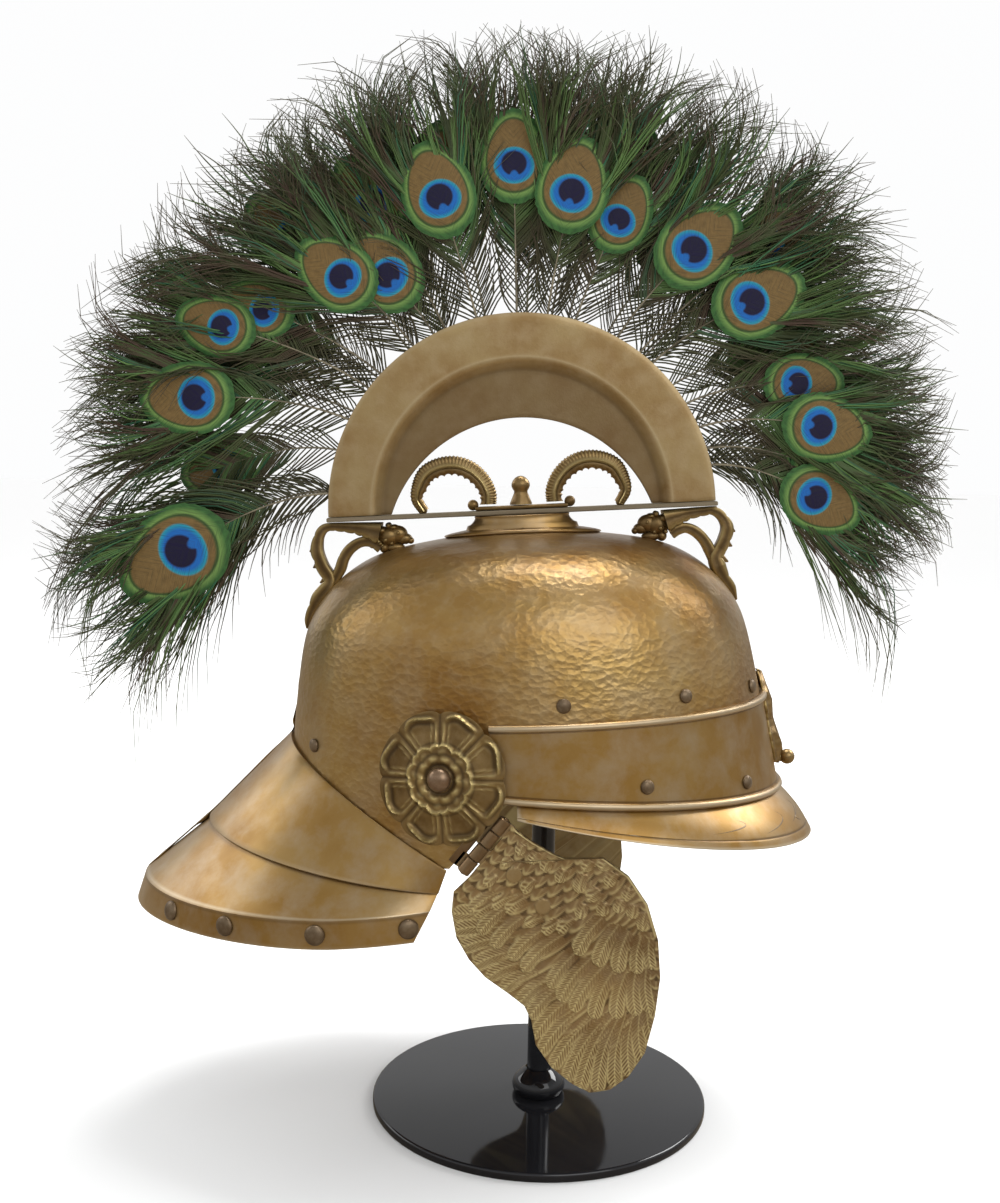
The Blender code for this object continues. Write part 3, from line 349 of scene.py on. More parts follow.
def newMaterial(name):
    material = bpy.data.materials.new(name)
    material.use_nodes = True
    return material, material.node_tree, material.node_tree.nodes["Principled BSDF"]


def makePatina():
    # soft patches of tarnish in two sizes, and fine grain
    tree, given, result = newGroup("patina", {"Scale": 22.0, "Grain Scale": 700.0},
                                   ("Patches", "Blotches", "Grain"))
    place = objectPlace(tree)
    finer = maths(tree, "MULTIPLY", given["Scale"], 3.7)
    for key, scale, detail, rough, twist, low, high in (
            ("Patches", given["Scale"], 6.0, 0.55, 0.1, 0.36, 0.66),
            ("Blotches", finer, 5.0, 0.62, 0.15, 0.42, 0.68),
            ("Grain", given["Grain Scale"], 3.0, 0.6, 0.0, 0.3, 0.7)):
        tree.links.new(ranged(tree, noise(tree, place, scale, detail, rough, twist)["Fac"], low, high),
                       result[key])
    return tree


def makeHammer():
    # overlapping hammer dents in two sizes, as a height, and the glints where they meet
    tree, given, result = newGroup("hammerMarks", {"Scale": 250.0}, ("Height", "Ridges"))
    place = objectPlace(tree)
    shift = vectors(tree, "MULTIPLY", noise(tree, place, 110.0, 3.0)["Color"], (0.004, 0.004, 0.003))[0]
    squeezed = vectors(tree, "MULTIPLY", vectors(tree, "ADD", place, shift)[0], (0.85, 0.85, 1.2))[0]
    large, small = (addNode(tree, "TexVoronoi", {"Vector": squeezed, "Scale": scale}).outputs["Distance"]
                    for scale in (given["Scale"], maths(tree, "MULTIPLY", given["Scale"], 1.9)))
    dents = scaled(tree, small, 0.28, large)
    tree.links.new(dents, result["Height"])
    tree.links.new(ranged(tree, dents, 0.74, 1.0), result["Ridges"])
    return tree


def makeCurvatureLight():
    # painted highlights along ridges and painted shade in hollows, found from the surface's curvature
    tree, given, result = newGroup("curvatureLight", {"Edge": 0.56, "Hollow": 0.46}, ("Ridges", "Hollows"))
    pointed = addNode(tree, "NewGeometry").outputs["Pointiness"]
    for key, low, operation, span in (("Ridges", given["Edge"], "ADD", 0.05),
                                      ("Hollows", given["Hollow"], "SUBTRACT", 0.06)):
        tree.links.new(ranged(tree, pointed, low, maths(tree, operation, low, span)), result[key])
    return tree


patina = makePatina()
hammerMarks = makeHammer()
curvatureLight = makeCurvatureLight()

# colours of the tarnish, the metal, its pale blotches, the painted highlight on ridges and the painted shade
# in hollows; then metallic, coat, roughness from low to high, scale of the patches and of the grain, bump
brass = {
    "hammeredBrass": ((0.235, 0.105, 0.012), (0.435, 0.278, 0.088), (0.455, 0.355, 0.215), (0.6, 0.48, 0.28),
                      (0.1, 0.045, 0.012), 0.85, 0.38, 0.3, 0.42, 12.0, 500.0, 0.4),
    "smoothBrass": ((0.27, 0.138, 0.02), (0.39, 0.245, 0.08), (0.44, 0.365, 0.265), (0.56, 0.47, 0.33),
                    (0.09, 0.05, 0.022), 0.85, 0.34, 0.28, 0.42, 15.0, 420.0, 0.3),
    "crestBrass": ((0.27, 0.165, 0.06), (0.37, 0.265, 0.12), (0.45, 0.345, 0.2), (0.5, 0.4, 0.24),
                   (0.095, 0.055, 0.022), 0.7, 0.15, 0.36, 0.5, 26.0, 800.0, 0.4),
    "castBrass": ((0.13, 0.073, 0.02), (0.25, 0.158, 0.054), (0.3, 0.21, 0.1), (0.62, 0.49, 0.21),
                  (0.03, 0.016, 0.006), 0.8, 0.15, 0.3, 0.46, 40.0, 900.0, 0.3),
    "wingBrass": ((0.165, 0.09, 0.03), (0.29, 0.18, 0.07), (0.34, 0.25, 0.14), (0.78, 0.66, 0.32),
                  (0.05, 0.024, 0.009), 0.72, 0.12, 0.32, 0.46, 30.0, 900.0, 0.3),
    "darkBrass": ((0.12, 0.078, 0.042), (0.2, 0.14, 0.082), (0.32, 0.25, 0.165), (0.48, 0.38, 0.22),
                  (0.04, 0.024, 0.012), 0.85, 0.2, 0.34, 0.5, 60.0, 900.0, 0.3),
    "hingeBrass": ((0.085, 0.042, 0.016), (0.17, 0.092, 0.038), (0.26, 0.18, 0.1), (0.48, 0.36, 0.2),
                   (0.02, 0.012, 0.006), 0.85, 0.1, 0.28, 0.42, 50.0, 700.0, 0.3),
    "studBrass": ((0.15, 0.08, 0.04), (0.25, 0.16, 0.095), (0.36, 0.27, 0.18), (0.5, 0.4, 0.28),
                  (0.03, 0.016, 0.008), 0.8, 0.2, 0.26, 0.4, 70.0, 900.0, 0.3),
    "barBrass": ((0.034, 0.023, 0.014), (0.056, 0.04, 0.026), (0.1, 0.078, 0.054), (0.22, 0.18, 0.12),
                 (0.02, 0.012, 0.006), 0.0, 0.0, 0.55, 0.7, 50.0, 700.0, 0.3),
}


def brassMaterial(name):
    deep, mid, pale, ridge, hollow, metallic, coat, low, high, scale, grain, bump = brass[name]
    material, tree, shader = newMaterial(name)
    tarnish = addGroup(tree, patina, **{"Scale": scale, "Grain Scale": grain})
    colour = colourMix(tree, tarnish["Patches"], deep, mid)
    colour = colourMix(tree, scaled(tree, tarnish["Blotches"], 0.38), colour, pale)
    # the piece's own masks of its ridges and hollows, with what its curvature adds: painted highlights and
    # painted shade
    curvatureShading = addGroup(tree, curvatureLight)
    masks = ownValues(tree, "relief")[1]
    ridges = maths(tree, "MAXIMUM", masks[0], scaled(tree, curvatureShading["Ridges"], 0.7))
    hollows = maths(tree, "MAXIMUM", masks[1], scaled(tree, curvatureShading["Hollows"], 0.8))
    # painted shade: the hollow colour darkens the hollows
    colour = colourMix(tree, scaled(tree, hollows, 0.85), colour, hollow)
    height = scaled(tree, tarnish["Grain"], 0.10)
    if name == "hammeredBrass":
        dents = addGroup(tree, hammerMarks)
        # painted glints on the ridges between the hammer dents
        colour = colourMix(tree, scaled(tree, dents["Ridges"], 0.10), colour, ridge)
        height = maths(tree, "ADD", height, dents["Height"])
    # painted highlight: the ridge colour brightens the ridges
    colour = colourMix(tree, scaled(tree, ridges, 0.85), colour, ridge)
    tree.links.new(colour, shader.inputs["Base Color"])
    tree.links.new(scaled(tree, tarnish["Patches"], low - high, high), shader.inputs["Roughness"])
    shader.inputs["Metallic"].default_value = metallic
    shader.inputs["Coat Weight"].default_value = coat
    shader.inputs["Coat Roughness"].default_value = 0.30
    if name == "barBrass":
        shader.inputs["Specular IOR Level"].default_value = 0.04
    bumped = addNode(tree, "Bump", {"Height": height, "Strength": bump, "Distance": 0.0008})
    tree.links.new(bumped.outputs["Normal"], shader.inputs["Normal"])
    return material


(hammeredBrass, smoothBrass, crestBrass, castBrass, wingBrass, darkBrass, hingeBrass, studBrass,
 barBrass) = (brassMaterial(name) for name in brass)


def enamelMaterial():
    material, tree, shader = newMaterial("blackEnamel")
    tarnish = addGroup(tree, patina, **{"Scale": 9.0, "Grain Scale": 260.0})
    tree.links.new(colourMix(tree, tarnish["Patches"], (0.006, 0.006, 0.007), (0.012, 0.012, 0.014)),
                   shader.inputs["Base Color"])
    tree.links.new(scaled(tree, tarnish["Blotches"], 0.05, 0.05), shader.inputs["Roughness"])
    return material


blackEnamel = enamelMaterial()
print("materials made")


# Dome

def cutBelow(bm, outline):
    # splits the faces along a side outline, an (x, z) line from front to back, and drops those under it
    for (x1, z1), (x2, z2) in zip(outline, outline[1:]):
        bmesh.ops.bisect_plane(bm, geom=bm.verts[:] + bm.edges[:] + bm.faces[:], dist=1e-7,
                               plane_co=(x1, 0, z1), plane_no=(z2 - z1, 0, x1 - x2))
    line = sorted(outline)
    lineX = [x for x, _ in line]
    lineZ = [z for _, z in line]
    under = []
    for face in bm.faces:
        middle = face.calc_center_median()
        if middle.z < np.interp(middle.x, lineX, lineZ):
            under.append(face)
    bmesh.ops.delete(bm, geom=under, context="FACES")


# low, high and top are level lines round the dome: height at its middle, and fall for each metre forward
band = {"low": (0.0190, 0.115), "high": (0.0570, 0.020), "roll": 0.0021, "end": math.radians(99)}
guard = {"reach": 0.2366, "half": 0.1175, "drop": 0.0510, "border": 0.0150, "frontX": -0.0420,
         "frontZ": -0.0114, "frontSlope": 0.583, "top": (-0.0442, 0.630), "seat": 0.0004, "overlap": 0.16,
         "columns": 110}
hinge = {"back": 0.0264, "drop": 0.0017, "rise": math.radians(48.3), "length": 0.0358, "radius": 0.0035,
         "out": 0.0011, "pin": 0.0015, "clearance": 0.0003, "knuckles": 4, "gap": 0.0004}


def hingeSpot(along, up):
    x = -hinge["back"] + along * math.cos(hinge["rise"]) - up * math.sin(hinge["rise"])
    z = -hinge["drop"] + along * math.sin(hinge["rise"]) + up * math.cos(hinge["rise"])
    return x, z


def makeDome():
    crown = smoothPath(dome["rings"], 72)[::-1]
    bm = lathe([(share * dome["length"] / 2, height * dome["height"]) for height, share in crown],
               dome["steps"])
    bmesh.ops.scale(bm, verts=bm.verts, vec=(1, dome["width"] / dome["length"], 1))
    # the rim runs under the band, round the hinge and under the neck guard
    clear = hinge["radius"] + dome["hingeRoom"]
    upper = hingeSpot(hinge["length"] * 0.72, clear)
    lower = hingeSpot(-hinge["length"] * 0.62, clear)
    height, fall = band["low"]
    lap, slope = guard["top"][0] - dome["underGuard"], guard["top"][1]
    beyond = 0.18
    cutBelow(bm, [(beyond, height - fall * beyond), (upper[0], height - fall * upper[0]), lower,
                  ((lap - lower[1]) / slope, lower[1]), (-beyond, lap + slope * beyond)])
    wall(addPiece("domeShell", bm, hammeredBrass, ["dome"], closed=False),
         dome["wall"], 0.0003)


makeDome()
print("dome made")


# Brow band and visor

def makeBand():
    roll = band["roll"]
    strip = gap + sheet
    # share of the way from the lower roll to the upper, lift, out
    outline = [(0, -roll * 0.7, gap)]
    for turn in np.radians(np.arange(-100, 101, 20)):
        outline.append((0, roll * math.sin(turn) * 0.98, strip + roll * 0.15 + roll * 1.05 * math.cos(turn)))
    outline += [(0, roll * 1.25, strip), (0.04, roll * 0.6, strip), (0.5, 0, strip + 0.0002)]
    outline += [(1 - share, -lift, out) for share, lift, out in reversed(outline[:-1])]
    outline.append(outline[0])
    rows = np.array(outline)
    count = len(rows) - 1

    def form(u, v):
        angle = band["end"] * (2 * u - 1)
        share, lift, out = (np.interp(v * count, np.arange(count + 1), rows[:, k]) for k in (0, 1, 2))
        height = band["low"][0] + (band["high"][0] - band["low"][0]) * share
        fall = band["low"][1] + (band["high"][1] - band["low"][1]) * share
        # painted highlight along the roll's crown, painted shade in the crease where it meets the strip
        crown = clamp((out - strip - roll * 0.75) / (roll * 0.4))
        crease = near(np.abs(lift), roll * 0.35, roll * 1.25) * (np.abs(out - strip) < 0.0004)
        return domeOnLevel(angle, height, fall, lift, out), 0.75 * crown, 0.8 * crease

    bm = closeEnds(formedGrid(132, count, form))
    addPiece("browBand", bm, smoothBrass, ["brow_band"], sharp=50)


makeBand()

visor = {"reach": 0.0181, "drop": 0.0281, "end": math.radians(93.5), "border": 0.80,
         "groove": 0.00028}


def visorPoint(angle, share, sink=0.0):
    size = 0.25 + 0.75 * (np.cos(angle) + 0.05) / 1.05
    swell = share + 0.10 * np.sin(math.pi * share)
    root = domeOnLevel(angle, band["low"][0], band["low"][1], -band["roll"] - gap)
    point = domePoint(angle, root[..., 2], gap + sheet + visor["reach"] * size * swell - sink)
    point[..., 2] = root[..., 2] - (visor["drop"] - band["roll"]) * size * share
    return point


def makeVisor():
    def form(u, v):
        line = near(v, 0.016, visor["border"])
        place = visorPoint(visor["end"] * (2 * u - 1), v * 1.035 - 0.035, visor["groove"] * line)
        # painted highlight along the outer edge, painted shade in the engraved groove
        return place, 0.7 * clamp((v - 0.93) / 0.05), line

    piece = addPiece("visorPeak", formedGrid(120, 44, form), smoothBrass, ["visor"],
                     closed=False)
    wall(piece, sheet, 0.0003)
    # engraved strokes of a leaf spray: angle in degrees and share at each end, and bend
    strokes = ((62, 0.25, 54, 0.62, 6), (50, 0.30, 47, 0.48, 3), (40, 0.42, 30, 0.62, -9),
               (33, 0.22, 24, 0.72, 6), (26, 0.25, 18, 0.70, 5), (14, 0.18, 7, 0.50, 4),
               (12, 0.42, 3, 0.66, -7), (3, 0.22, -5, 0.60, 5), (-6, 0.40, -14, 0.66, -7),
               (-14, 0.20, -22, 0.60, 5), (-28, 0.25, -36, 0.68, 6), (-44, 0.30, -52, 0.62, 6))
    shapes = []
    for startAngle, startShare, endAngle, endShare, bend in strokes:
        def form(u, v):
            degrees = startAngle + (endAngle - startAngle) * u + bend * np.sin(math.pi * u)
            share = startShare + (endShare - startShare) * u
            width = 0.00030 * np.sin(math.pi * clamp(u * 0.96 + 0.02))
            turn = v * math.tau
            return visorPoint(np.radians(degrees), share + width / visor["drop"] * 1.4 * np.cos(turn),
                              -0.00005 - width * 0.35 * np.sin(turn))

        shapes.append(closeEnds(formedGrid(16, 6, form)))
    addPiece("visorStrokes", merged(shapes), darkBrass, [])


makeVisor()
print("brow made")


# Neck guard

def guardPlan(row, x):
    back, widest, half, power = row
    behind = clamp((widest - x) / (widest - back))
    ahead = clamp((x - widest) / (widest - back))
    return np.where(x < widest, half * (1 - behind**power) ** (1 / power), half * np.sqrt(1 - ahead**2))


# a row's plan: its back, widest place, half width and fullness; then its height and fall
guardRows = {
    "lap": ((-0.805 * guard["reach"], -0.296 * guard["reach"], 0.915 * guard["half"], 1.85),
            (-0.0365, 0.170)),
    "border": ((-0.975 * guard["reach"], -0.435 * guard["reach"], guard["half"], 1.68),
               (guard["border"] - guard["drop"], 0.0)),
    "edge": ((-guard["reach"], -0.444 * guard["reach"], guard["half"], 1.65), (-guard["drop"], 0.0)),
}


def guardFront(z):
    return guard["frontX"] + guard["frontSlope"] * (z - guard["frontZ"])


def guardRow(name, spots):
    row, (height, fall) = guardRows[name]
    front = row[1]
    for _ in range(6):
        front = guardFront(height - fall * front)
    turn = math.pi / 2 * (2 * spots - 1)
    x = row[0] + (front - row[0]) * (1 - np.cos(turn))
    y = np.sign(turn) * guardPlan(row, x) * (np.abs(turn) > 1e-6)
    return xyz(x, y, height - fall * x)


def guardTopRow(spots):
    height, fall = guard["top"]
    frontX = guardFront(height - fall * guard["frontX"])
    end = math.acos(2 * frontX / dome["length"])
    angle = math.pi + (math.pi - end) * (1 - 2 * spots)
    return domeOnLevel(angle, height, fall, 0.0, gap + sheet + guard["seat"])


def makeGuard():
    spots = np.linspace(0, 1, guard["columns"] + 1)
    top = guardTopRow(spots)
    lap, border, edge = (guardRow(name, spots) for name in ("lap", "border", "edge"))
    # the lower lame starts inside the upper one
    start = top + (lap - top) * (1 - guard["overlap"])
    along = np.gradient(lap, axis=0)
    inward = np.cross(along, lap - top)
    inward /= np.linalg.norm(inward, axis=1)[:, None]
    inward[(inward * lap).sum(1) > 0] *= -1
    stepIn = inward * (sheet + gap * 3)
    corner = border + (lap - border) * 0.04
    lames = {
        "neckLameUpper": ((0, top), (1, lap)),
        "neckLameLower": ((0, start + stepIn), (0.25, lap + stepIn), (0.70, corner), (0.72, border),
                          (0.735, border + (edge - border) * 0.06), (1, edge)),
    }
    for (name, rows), node in zip(lames.items(), ("neck_guard_upper", "neck_guard_lower")):
        marks = [mark for mark, _ in rows]
        stack = np.array([row for _, row in rows])

        def form(u, v):
            column = np.rint(u * guard["columns"]).astype(int)
            place = np.stack([[np.interp(b, marks, stack[:, a, k]) for a, b in zip(column, v)]
                              for k in (0, 1, 2)], -1)
            side = np.minimum(u, 1 - u)
            # painted highlights on the edges, the border's crest and strips near the ends; painted shade in
            # the fold and under the upper lame's edge
            if "Upper" in name:
                return place, 0.35 * clamp((v - 0.96) / 0.03), 0 * u
            strip = near(side, 0.022, 0.045) * (v < 0.7) * 0.12
            ridge = 0.8 * near(v, 0.012, 0.705) + 0.6 * clamp((v - 0.975) / 0.02) + strip
            fold = 0.7 * near(v, 0.012, 0.73) + 0.6 * near(v, 0.012, 0.26)
            return place, clamp(ridge), clamp(fold)

        bm = formedGrid(guard["columns"], 50 if "Lower" in name else 16, form)
        piece = addPiece(name, bm, smoothBrass, [node], closed=False,
                         inside=(-0.05, 0, 0), sharp=30)
        wall(piece, sheet, 0.0003)


makeGuard()


def makeSpine():
    # the cast strip down the back, with a hump where each rivet holds it
    spots = np.array([0.5])
    top, lap, border = guardTopRow(spots)[0], guardRow("lap", spots)[0], guardRow("border", spots)[0]
    points = []
    for z in (0.083, 0.072, 0.060, 0.050):
        place = domePoint(math.pi, np.array(z), gap if z > 0.055 else gap * 2 + sheet)
        points.append((float(place[0]), float(place[2])))
    off = np.array([-gap, 0, gap])
    for row, after, share in ((top, lap, 0.0), (top, lap, 0.3), (top, lap, 0.7), (top, lap, 0.97),
                              (lap, border, 0.25), (lap, border, 0.55), (lap, border, 0.80),
                              (lap, border, 0.97)):
        place = row + (after - row) * share + off
        points.append((float(place[0]), float(place[2])))

    def section(u, turn):
        hump = sum(near(u, 0.030, spot) for spot in (0.10, 0.30, 0.47, 0.68, 0.90))
        width = 0.0050 * (0.45 + 0.35 * np.sin(math.pi * u) ** 0.5 + 0.30 * hump) + 0.0002
        height = 0.0007 + 0.0020 * hump + 0.0014 * near(u, 0.03, 1)
        outward = np.clip(np.cos(turn), -0.05, 1)
        ridge = 1 + 0.10 * np.cos(turn * 6)
        return height * outward * ridge + 0.0002, width * np.sin(turn)

    addPiece("backStrip", sweep(points, 110, 24, section), castBrass, ["back_spine"])


makeSpine()
print("neck guard made")


# Rosettes

rosette = {"radius": 0.0357, "thickness": 0.0065, "back": 0.0462, "height": 0.0322, "turn": math.radians(19),
           "lean": math.radians(4), "stud": 0.0064}


def rosetteFrame(side):
    lowest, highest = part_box("rosette_right" if side < 0 else "rosette_left")
    flat = math.cos(rosette["lean"])
    normal = Vector((-math.sin(rosette["turn"]) * flat, side * math.cos(rosette["turn"]) * flat,
                     math.sin(rosette["lean"])))
    turn = normal.to_track_quat("Z", "Y").to_matrix().to_4x4()
    outer = highest[1] if side > 0 else -lowest[1]
    x, z = -rosette["back"], rosette["height"]
    share = float(domeShare(z))
    y = dome["width"] / 2 * share * math.sqrt(1 - (2 * x / (dome["length"] * share)) ** 2)
    place = Matrix.Translation((x, side * y, z)) @ turn
    # moved out along its normal until it reaches as far as the node does
    rim = [Vector((rosette["radius"] * math.cos(a), rosette["radius"] * math.sin(a), rosette["thickness"]))
           for a in np.linspace(0, math.tau, 48)]
    reach = max(abs((helmetPlace @ place @ spot).y) for spot in rim)
    return Matrix.Translation(normal * ((outer - reach) / (normal.y * side))) @ place


def rosetteHeights(x, y):
    # height above the back as a share of the thickness, and masks of painted highlights on its ridges and
    # painted shade in its hollows
    r = np.hypot(x, y)
    angle = np.arctan2(y, x)
    petal = (angle * 8 / math.tau) % 1.0 - 0.5  # -0.5 and 0.5 are the notches between petals
    rim = 1 - 0.06 * np.abs(petal * 2) ** 4
    edge = r / rim
    spread = (0.5 - np.abs(petal)) * math.tau / 8 * r
    bowl = 0.86 - 0.50 * clamp((r - 0.30) / 0.70) ** 0.9
    dish = near(edge, 0.13, 0.76) * clamp(spread / 0.10)
    lipPlace = 0.935 - 0.06 * (petal * 2) ** 2 + 0.022 * np.sin(petal * 9) + 0.010 * np.sin(angle * 3)
    lipSize = clamp(1.25 - np.abs(petal * 2.75) ** 3)
    lip = lipSize * near(edge, 0.023, lipPlace)
    curl = lipSize * near(edge - lipPlace, 0.018, 0.042)
    shade = lipSize * near(edge - lipPlace + 0.075, 0.035)
    span = clamp((edge - 0.50) * 10) * clamp((0.90 - edge) * 14)
    ribs = near(spread - 0.050, 0.015, 0.015 * r) * span
    inner = near(spread - 0.115, 0.011, 0.03 * r) * span * clamp((0.86 - edge) * 10)
    valley = near(spread, 0.020) * clamp((edge - 0.48) * 9)
    turn = angle * 4
    loops = 0.435 + 0.075 * np.abs(np.cos(turn + 0.4)) ** 0.6
    collar = near(r, 0.026, loops)
    knots = near(r, 0.045, 0.415) * clamp(np.cos(angle * 8 + 0.8)) ** 1.5
    beads = near(r, 0.040, 0.30) * (0.55 + 0.45 * np.cos(angle * 10))
    cup = near(r, 0.035, 0.215)
    height = bowl - 0.17 * dish + 0.30 * lip - 0.10 * shade - 0.05 * curl + 0.13 * ribs + 0.08 * inner \
        - 0.07 * valley + 0.26 * collar + 0.12 * knots + 0.16 * beads - 0.16 * cup
    ridges = clamp(lip * 0.95 + 0.62 * ribs + 0.40 * inner + 0.95 * collar + 0.8 * beads + 0.3 * knots)
    hollows = clamp(valley * 0.7 + cup + shade * 0.8 + curl * 0.7 + near(r, 0.022, 0.375) * 0.8
                    + near(r, 0.018, 0.535) * 0.7)
    return rim, height, ridges, hollows


def makeRosettes():
    for word, side in sides:
        def form(u, v):
            angle = u * math.tau
            r = np.where(v < 0.86, v / 0.86, 1.0)
            rim, height, ridges, hollows = rosetteHeights(r * np.cos(angle), r * np.sin(angle))
            down = clamp((v - 0.86) / 0.14)
            reach = r * rim * (1 - 0.05 * down**2) * rosette["radius"]
            z = rosette["thickness"] * height * (1 - down) + 0.12 * rosette["thickness"] * down
            return xyz(reach * np.cos(angle), reach * np.sin(angle), z), ridges * (down < 0.1), hollows

        bm = closeEnds(formedGrid(208, 60, form))
        place = helmetPlace @ rosetteFrame(side)
        addPiece(f"rosette{word.title()}", bm, castBrass, ["rosette_" + word],
                 frameOf=place, sharp=60)
        half = rosette["stud"]
        boss = rosette["thickness"] * 0.74
        profile = [(0, boss + half * 0.95)]
        profile += [(half * math.sin(a), boss + half * (0.15 + 0.8 * math.cos(a)))
                    for a in np.radians((20, 40, 60, 78, 90))]
        profile += [(half * 0.98, boss - half * 0.2), (half * 0.8, boss - half * 0.5),
                    (0, boss - half * 0.5)]
        addPiece(f"rosetteStud{word.title()}", lathe(profile, 32), studBrass, ["rosette_stud_" + word],
                 frameOf=place)


makeRosettes()
print("rosettes made")


# Emblem on the brow

emblem = {"foot": 0.011, "height": 0.055, "width": 0.032, "depth": 0.0092, "wall": 0.0010,
          "knobHeight": 0.0138, "knobOut": 0.0108, "knobRadius": 0.0045, "stem": 0.0020}


def makeEmblem():
    # a palmette of leaves over two scrolls, with a round knob at its foot
    def form(u, v):
        across = (u - 0.5) * 2
        outline = np.interp(v, (0, 0.08, 0.2, 0.36, 0.5, 0.66, 0.8, 0.92, 1),
                            (0.16, 0.5, 0.84, 0.96, 0.72, 1.0, 0.98, 0.6, 0.08))
        lobes = 1 + 0.07 * np.abs(np.sin(v * math.pi * 7))
        z = emblem["foot"] + emblem["height"] * v
        half = emblem["width"] / 2 * outline * lobes / (dome["width"] / 2)
        crown = np.interp(v, (0, 0.15, 0.3, 0.5, 0.7, 0.85, 1), (0.7, 1.0, 0.95, 0.72, 0.90, 0.6, 0.30))
        body = np.sqrt(clamp(1 - across**2))
        leaves = 0.16 * np.cos(across * math.pi * (3.5 + 1.5 * v) + v * 5) * body
        scrolls = 0.22 * np.exp(-(((v - 0.25) / 0.10) ** 2 + ((np.abs(across) - 0.55) / 0.22) ** 2))
        middle = 0.20 * near(across, 0.16)
        out = 0.0024 + emblem["depth"] * clamp(crown * (0.42 * body + leaves + scrolls + middle * 0.9))
        out = np.where(np.abs(across) > 0.995, 0.0016, out)
        return domePoint(half * across, z, out)

    bm = formedGrid(60, 90, form)
    piece = addPiece("browEmblem", bm, castBrass, ["front_emblem"], closed=False, sharp=60)
    wall(piece, emblem["wall"])
    z, stem = emblem["knobHeight"], emblem["stem"]
    x = float(domePoint(0.0, np.array(z), emblem["knobOut"])[0])
    bar = sweep([(x - emblem["knobRadius"], z), (x - stem, z), (x, z)], 6, 16,
                lambda u, turn: (stem * np.cos(turn), stem * np.sin(turn)))
    addPiece("browKnob", merged([ball((x, 0, z), emblem["knobRadius"], 28), bar]), castBrass, [])


makeEmblem()


# Crest

crest = {"shift": 0.0015, "radius": 0.112, "band": 0.026, "depth": 0.016, "recess": 0.005,
         "openRadius": 0.0811, "openSink": 0.0283, "barTop": 0.1668, "barThickness": 0.0026,
         "overhang": 0.001}
crestPlace = helmetPlace @ Matrix.Translation((crest["shift"], 0, crest["barTop"] + gap))


def makeCrestPlates():
    outer = crest["depth"] / 2
    inner = outer - crest["recess"]
    foot = crest["radius"] - crest["band"]
    for word, side in sides:
        def form(u, v):
            angle = math.pi * u
            sink = crest["openSink"]
            start = -sink * np.sin(angle) + np.sqrt(crest["openRadius"] ** 2 - (sink * np.cos(angle)) ** 2)
            # the recessed ring, its slope, then the raised band
            r = np.where(v < 0.3, start + (foot - 0.009 - start) * v / 0.3,
                         np.where(v < 0.75, foot - 0.009 + 0.013 * (v - 0.3) / 0.45,
                                  foot + 0.004 + (crest["radius"] - foot - 0.004) * (v - 0.75) / 0.25))
            step = clamp((r - (foot - 0.0062)) / 0.0066)
            out = inner + (outer - inner) * step * step * (3 - 2 * step)
            out = out - 0.0005 * near(r, 0.0006, crest["radius"])
            # painted highlight on the outer edge and the step; painted shade over the recessed ring, deepest
            # just inside the step
            rim = near(r, 0.0011, crest["radius"]) + near(r - foot, 0.0009, 0.0012)
            deep = clamp((foot - 0.0035 - r) / 0.004) * 0.64 + 0.4 * near(r - foot + 0.0055, 0.0016)
            return xyz(r * np.cos(angle), side * out, r * np.sin(angle)), 0.5 * rim, clamp(deep)

        piece = addPiece(f"crestPlate{word.title()}", formedGrid(128, 32, form), crestBrass,
                         ["crest_plate_" + word], closed=False, inside=(0, 0, 0.22),
                         frameOf=crestPlace)
        # the sheet lies inward of the face that shows
        if sum(face.normal.y * side for face in piece.data.polygons) < 0:
            piece.data.flip_normals()
        wall(piece, sheet, 0.0003)


makeCrestPlates()


def makePedestal():
    top = crest["barTop"] - crest["barThickness"] - gap
    # length, width, height above the dome or under the bar
    rings = (
        (0.0860, 0.0370, "dome", 0.0000), (0.0900, 0.0390, "dome", 0.0000), (0.0920, 0.0400, "dome", 0.0007),
        (0.0905, 0.0392, "dome", 0.0014), (0.0850, 0.0365, "dome", 0.0019), (0.0740, 0.0330, "dome", 0.0024),
        (0.0690, 0.0330, "dome", 0.0026), (0.0660, 0.0330, "dome", 0.0024), (0.0640, 0.0322, "bar", -0.0056),
        (0.0605, 0.0318, "bar", -0.0049), (0.0580, 0.0308, "bar", -0.0038), (0.0560, 0.0302, "bar", -0.0026),
        (0.0548, 0.0298, "bar", -0.0012), (0.0556, 0.0301, "bar", -0.0003), (0.0545, 0.0292, "bar", 0.0),
    )

    def form(u, v):
        spot = np.rint(v * (len(rings) - 1)).astype(int)
        angle = u * math.tau
        length, width, base, lift = (np.array(column)[spot] for column in zip(*rings))
        x = crest["shift"] + length / 2 * np.cos(angle)
        y = width / 2 * np.sin(angle)
        z = np.where(base == "dome", domeTop(x, y) + gap + lift, top + lift)
        return xyz(x, y, z)

    bm = closeEnds(formedGrid(112, len(rings) - 1, form))
    addPiece("crestPedestal", bm, smoothBrass, ["crest_pedestal"], sharp=50)


makePedestal()


def leafBar(radii, lobes, flutes=3, wide=1.3, crumple=0.16):
    # a cast acanthus limb: lobed along its outer side, fluted along its length, with painted highlights on
    # the flutes' crests and painted shade in their troughs
    radii = np.array(radii)

    def section(u, turn):
        radius = np.interp(u, np.linspace(0, 1, len(radii)), radii)
        outer = clamp(np.cos(turn))
        lobe = np.abs(np.sin(u * math.pi * lobes)) ** 0.6
        reach = radius * (1 + crumple * (lobe - 0.5) * outer)
        wave = np.cos(turn * flutes * 2)
        flute = 1 - 0.13 * wave
        return (reach * np.cos(turn) * flute, radius * wide * np.sin(turn) * flute,
                0.55 * clamp(-wave) ** 2, 0.85 * clamp(wave) ** 2)

    return section


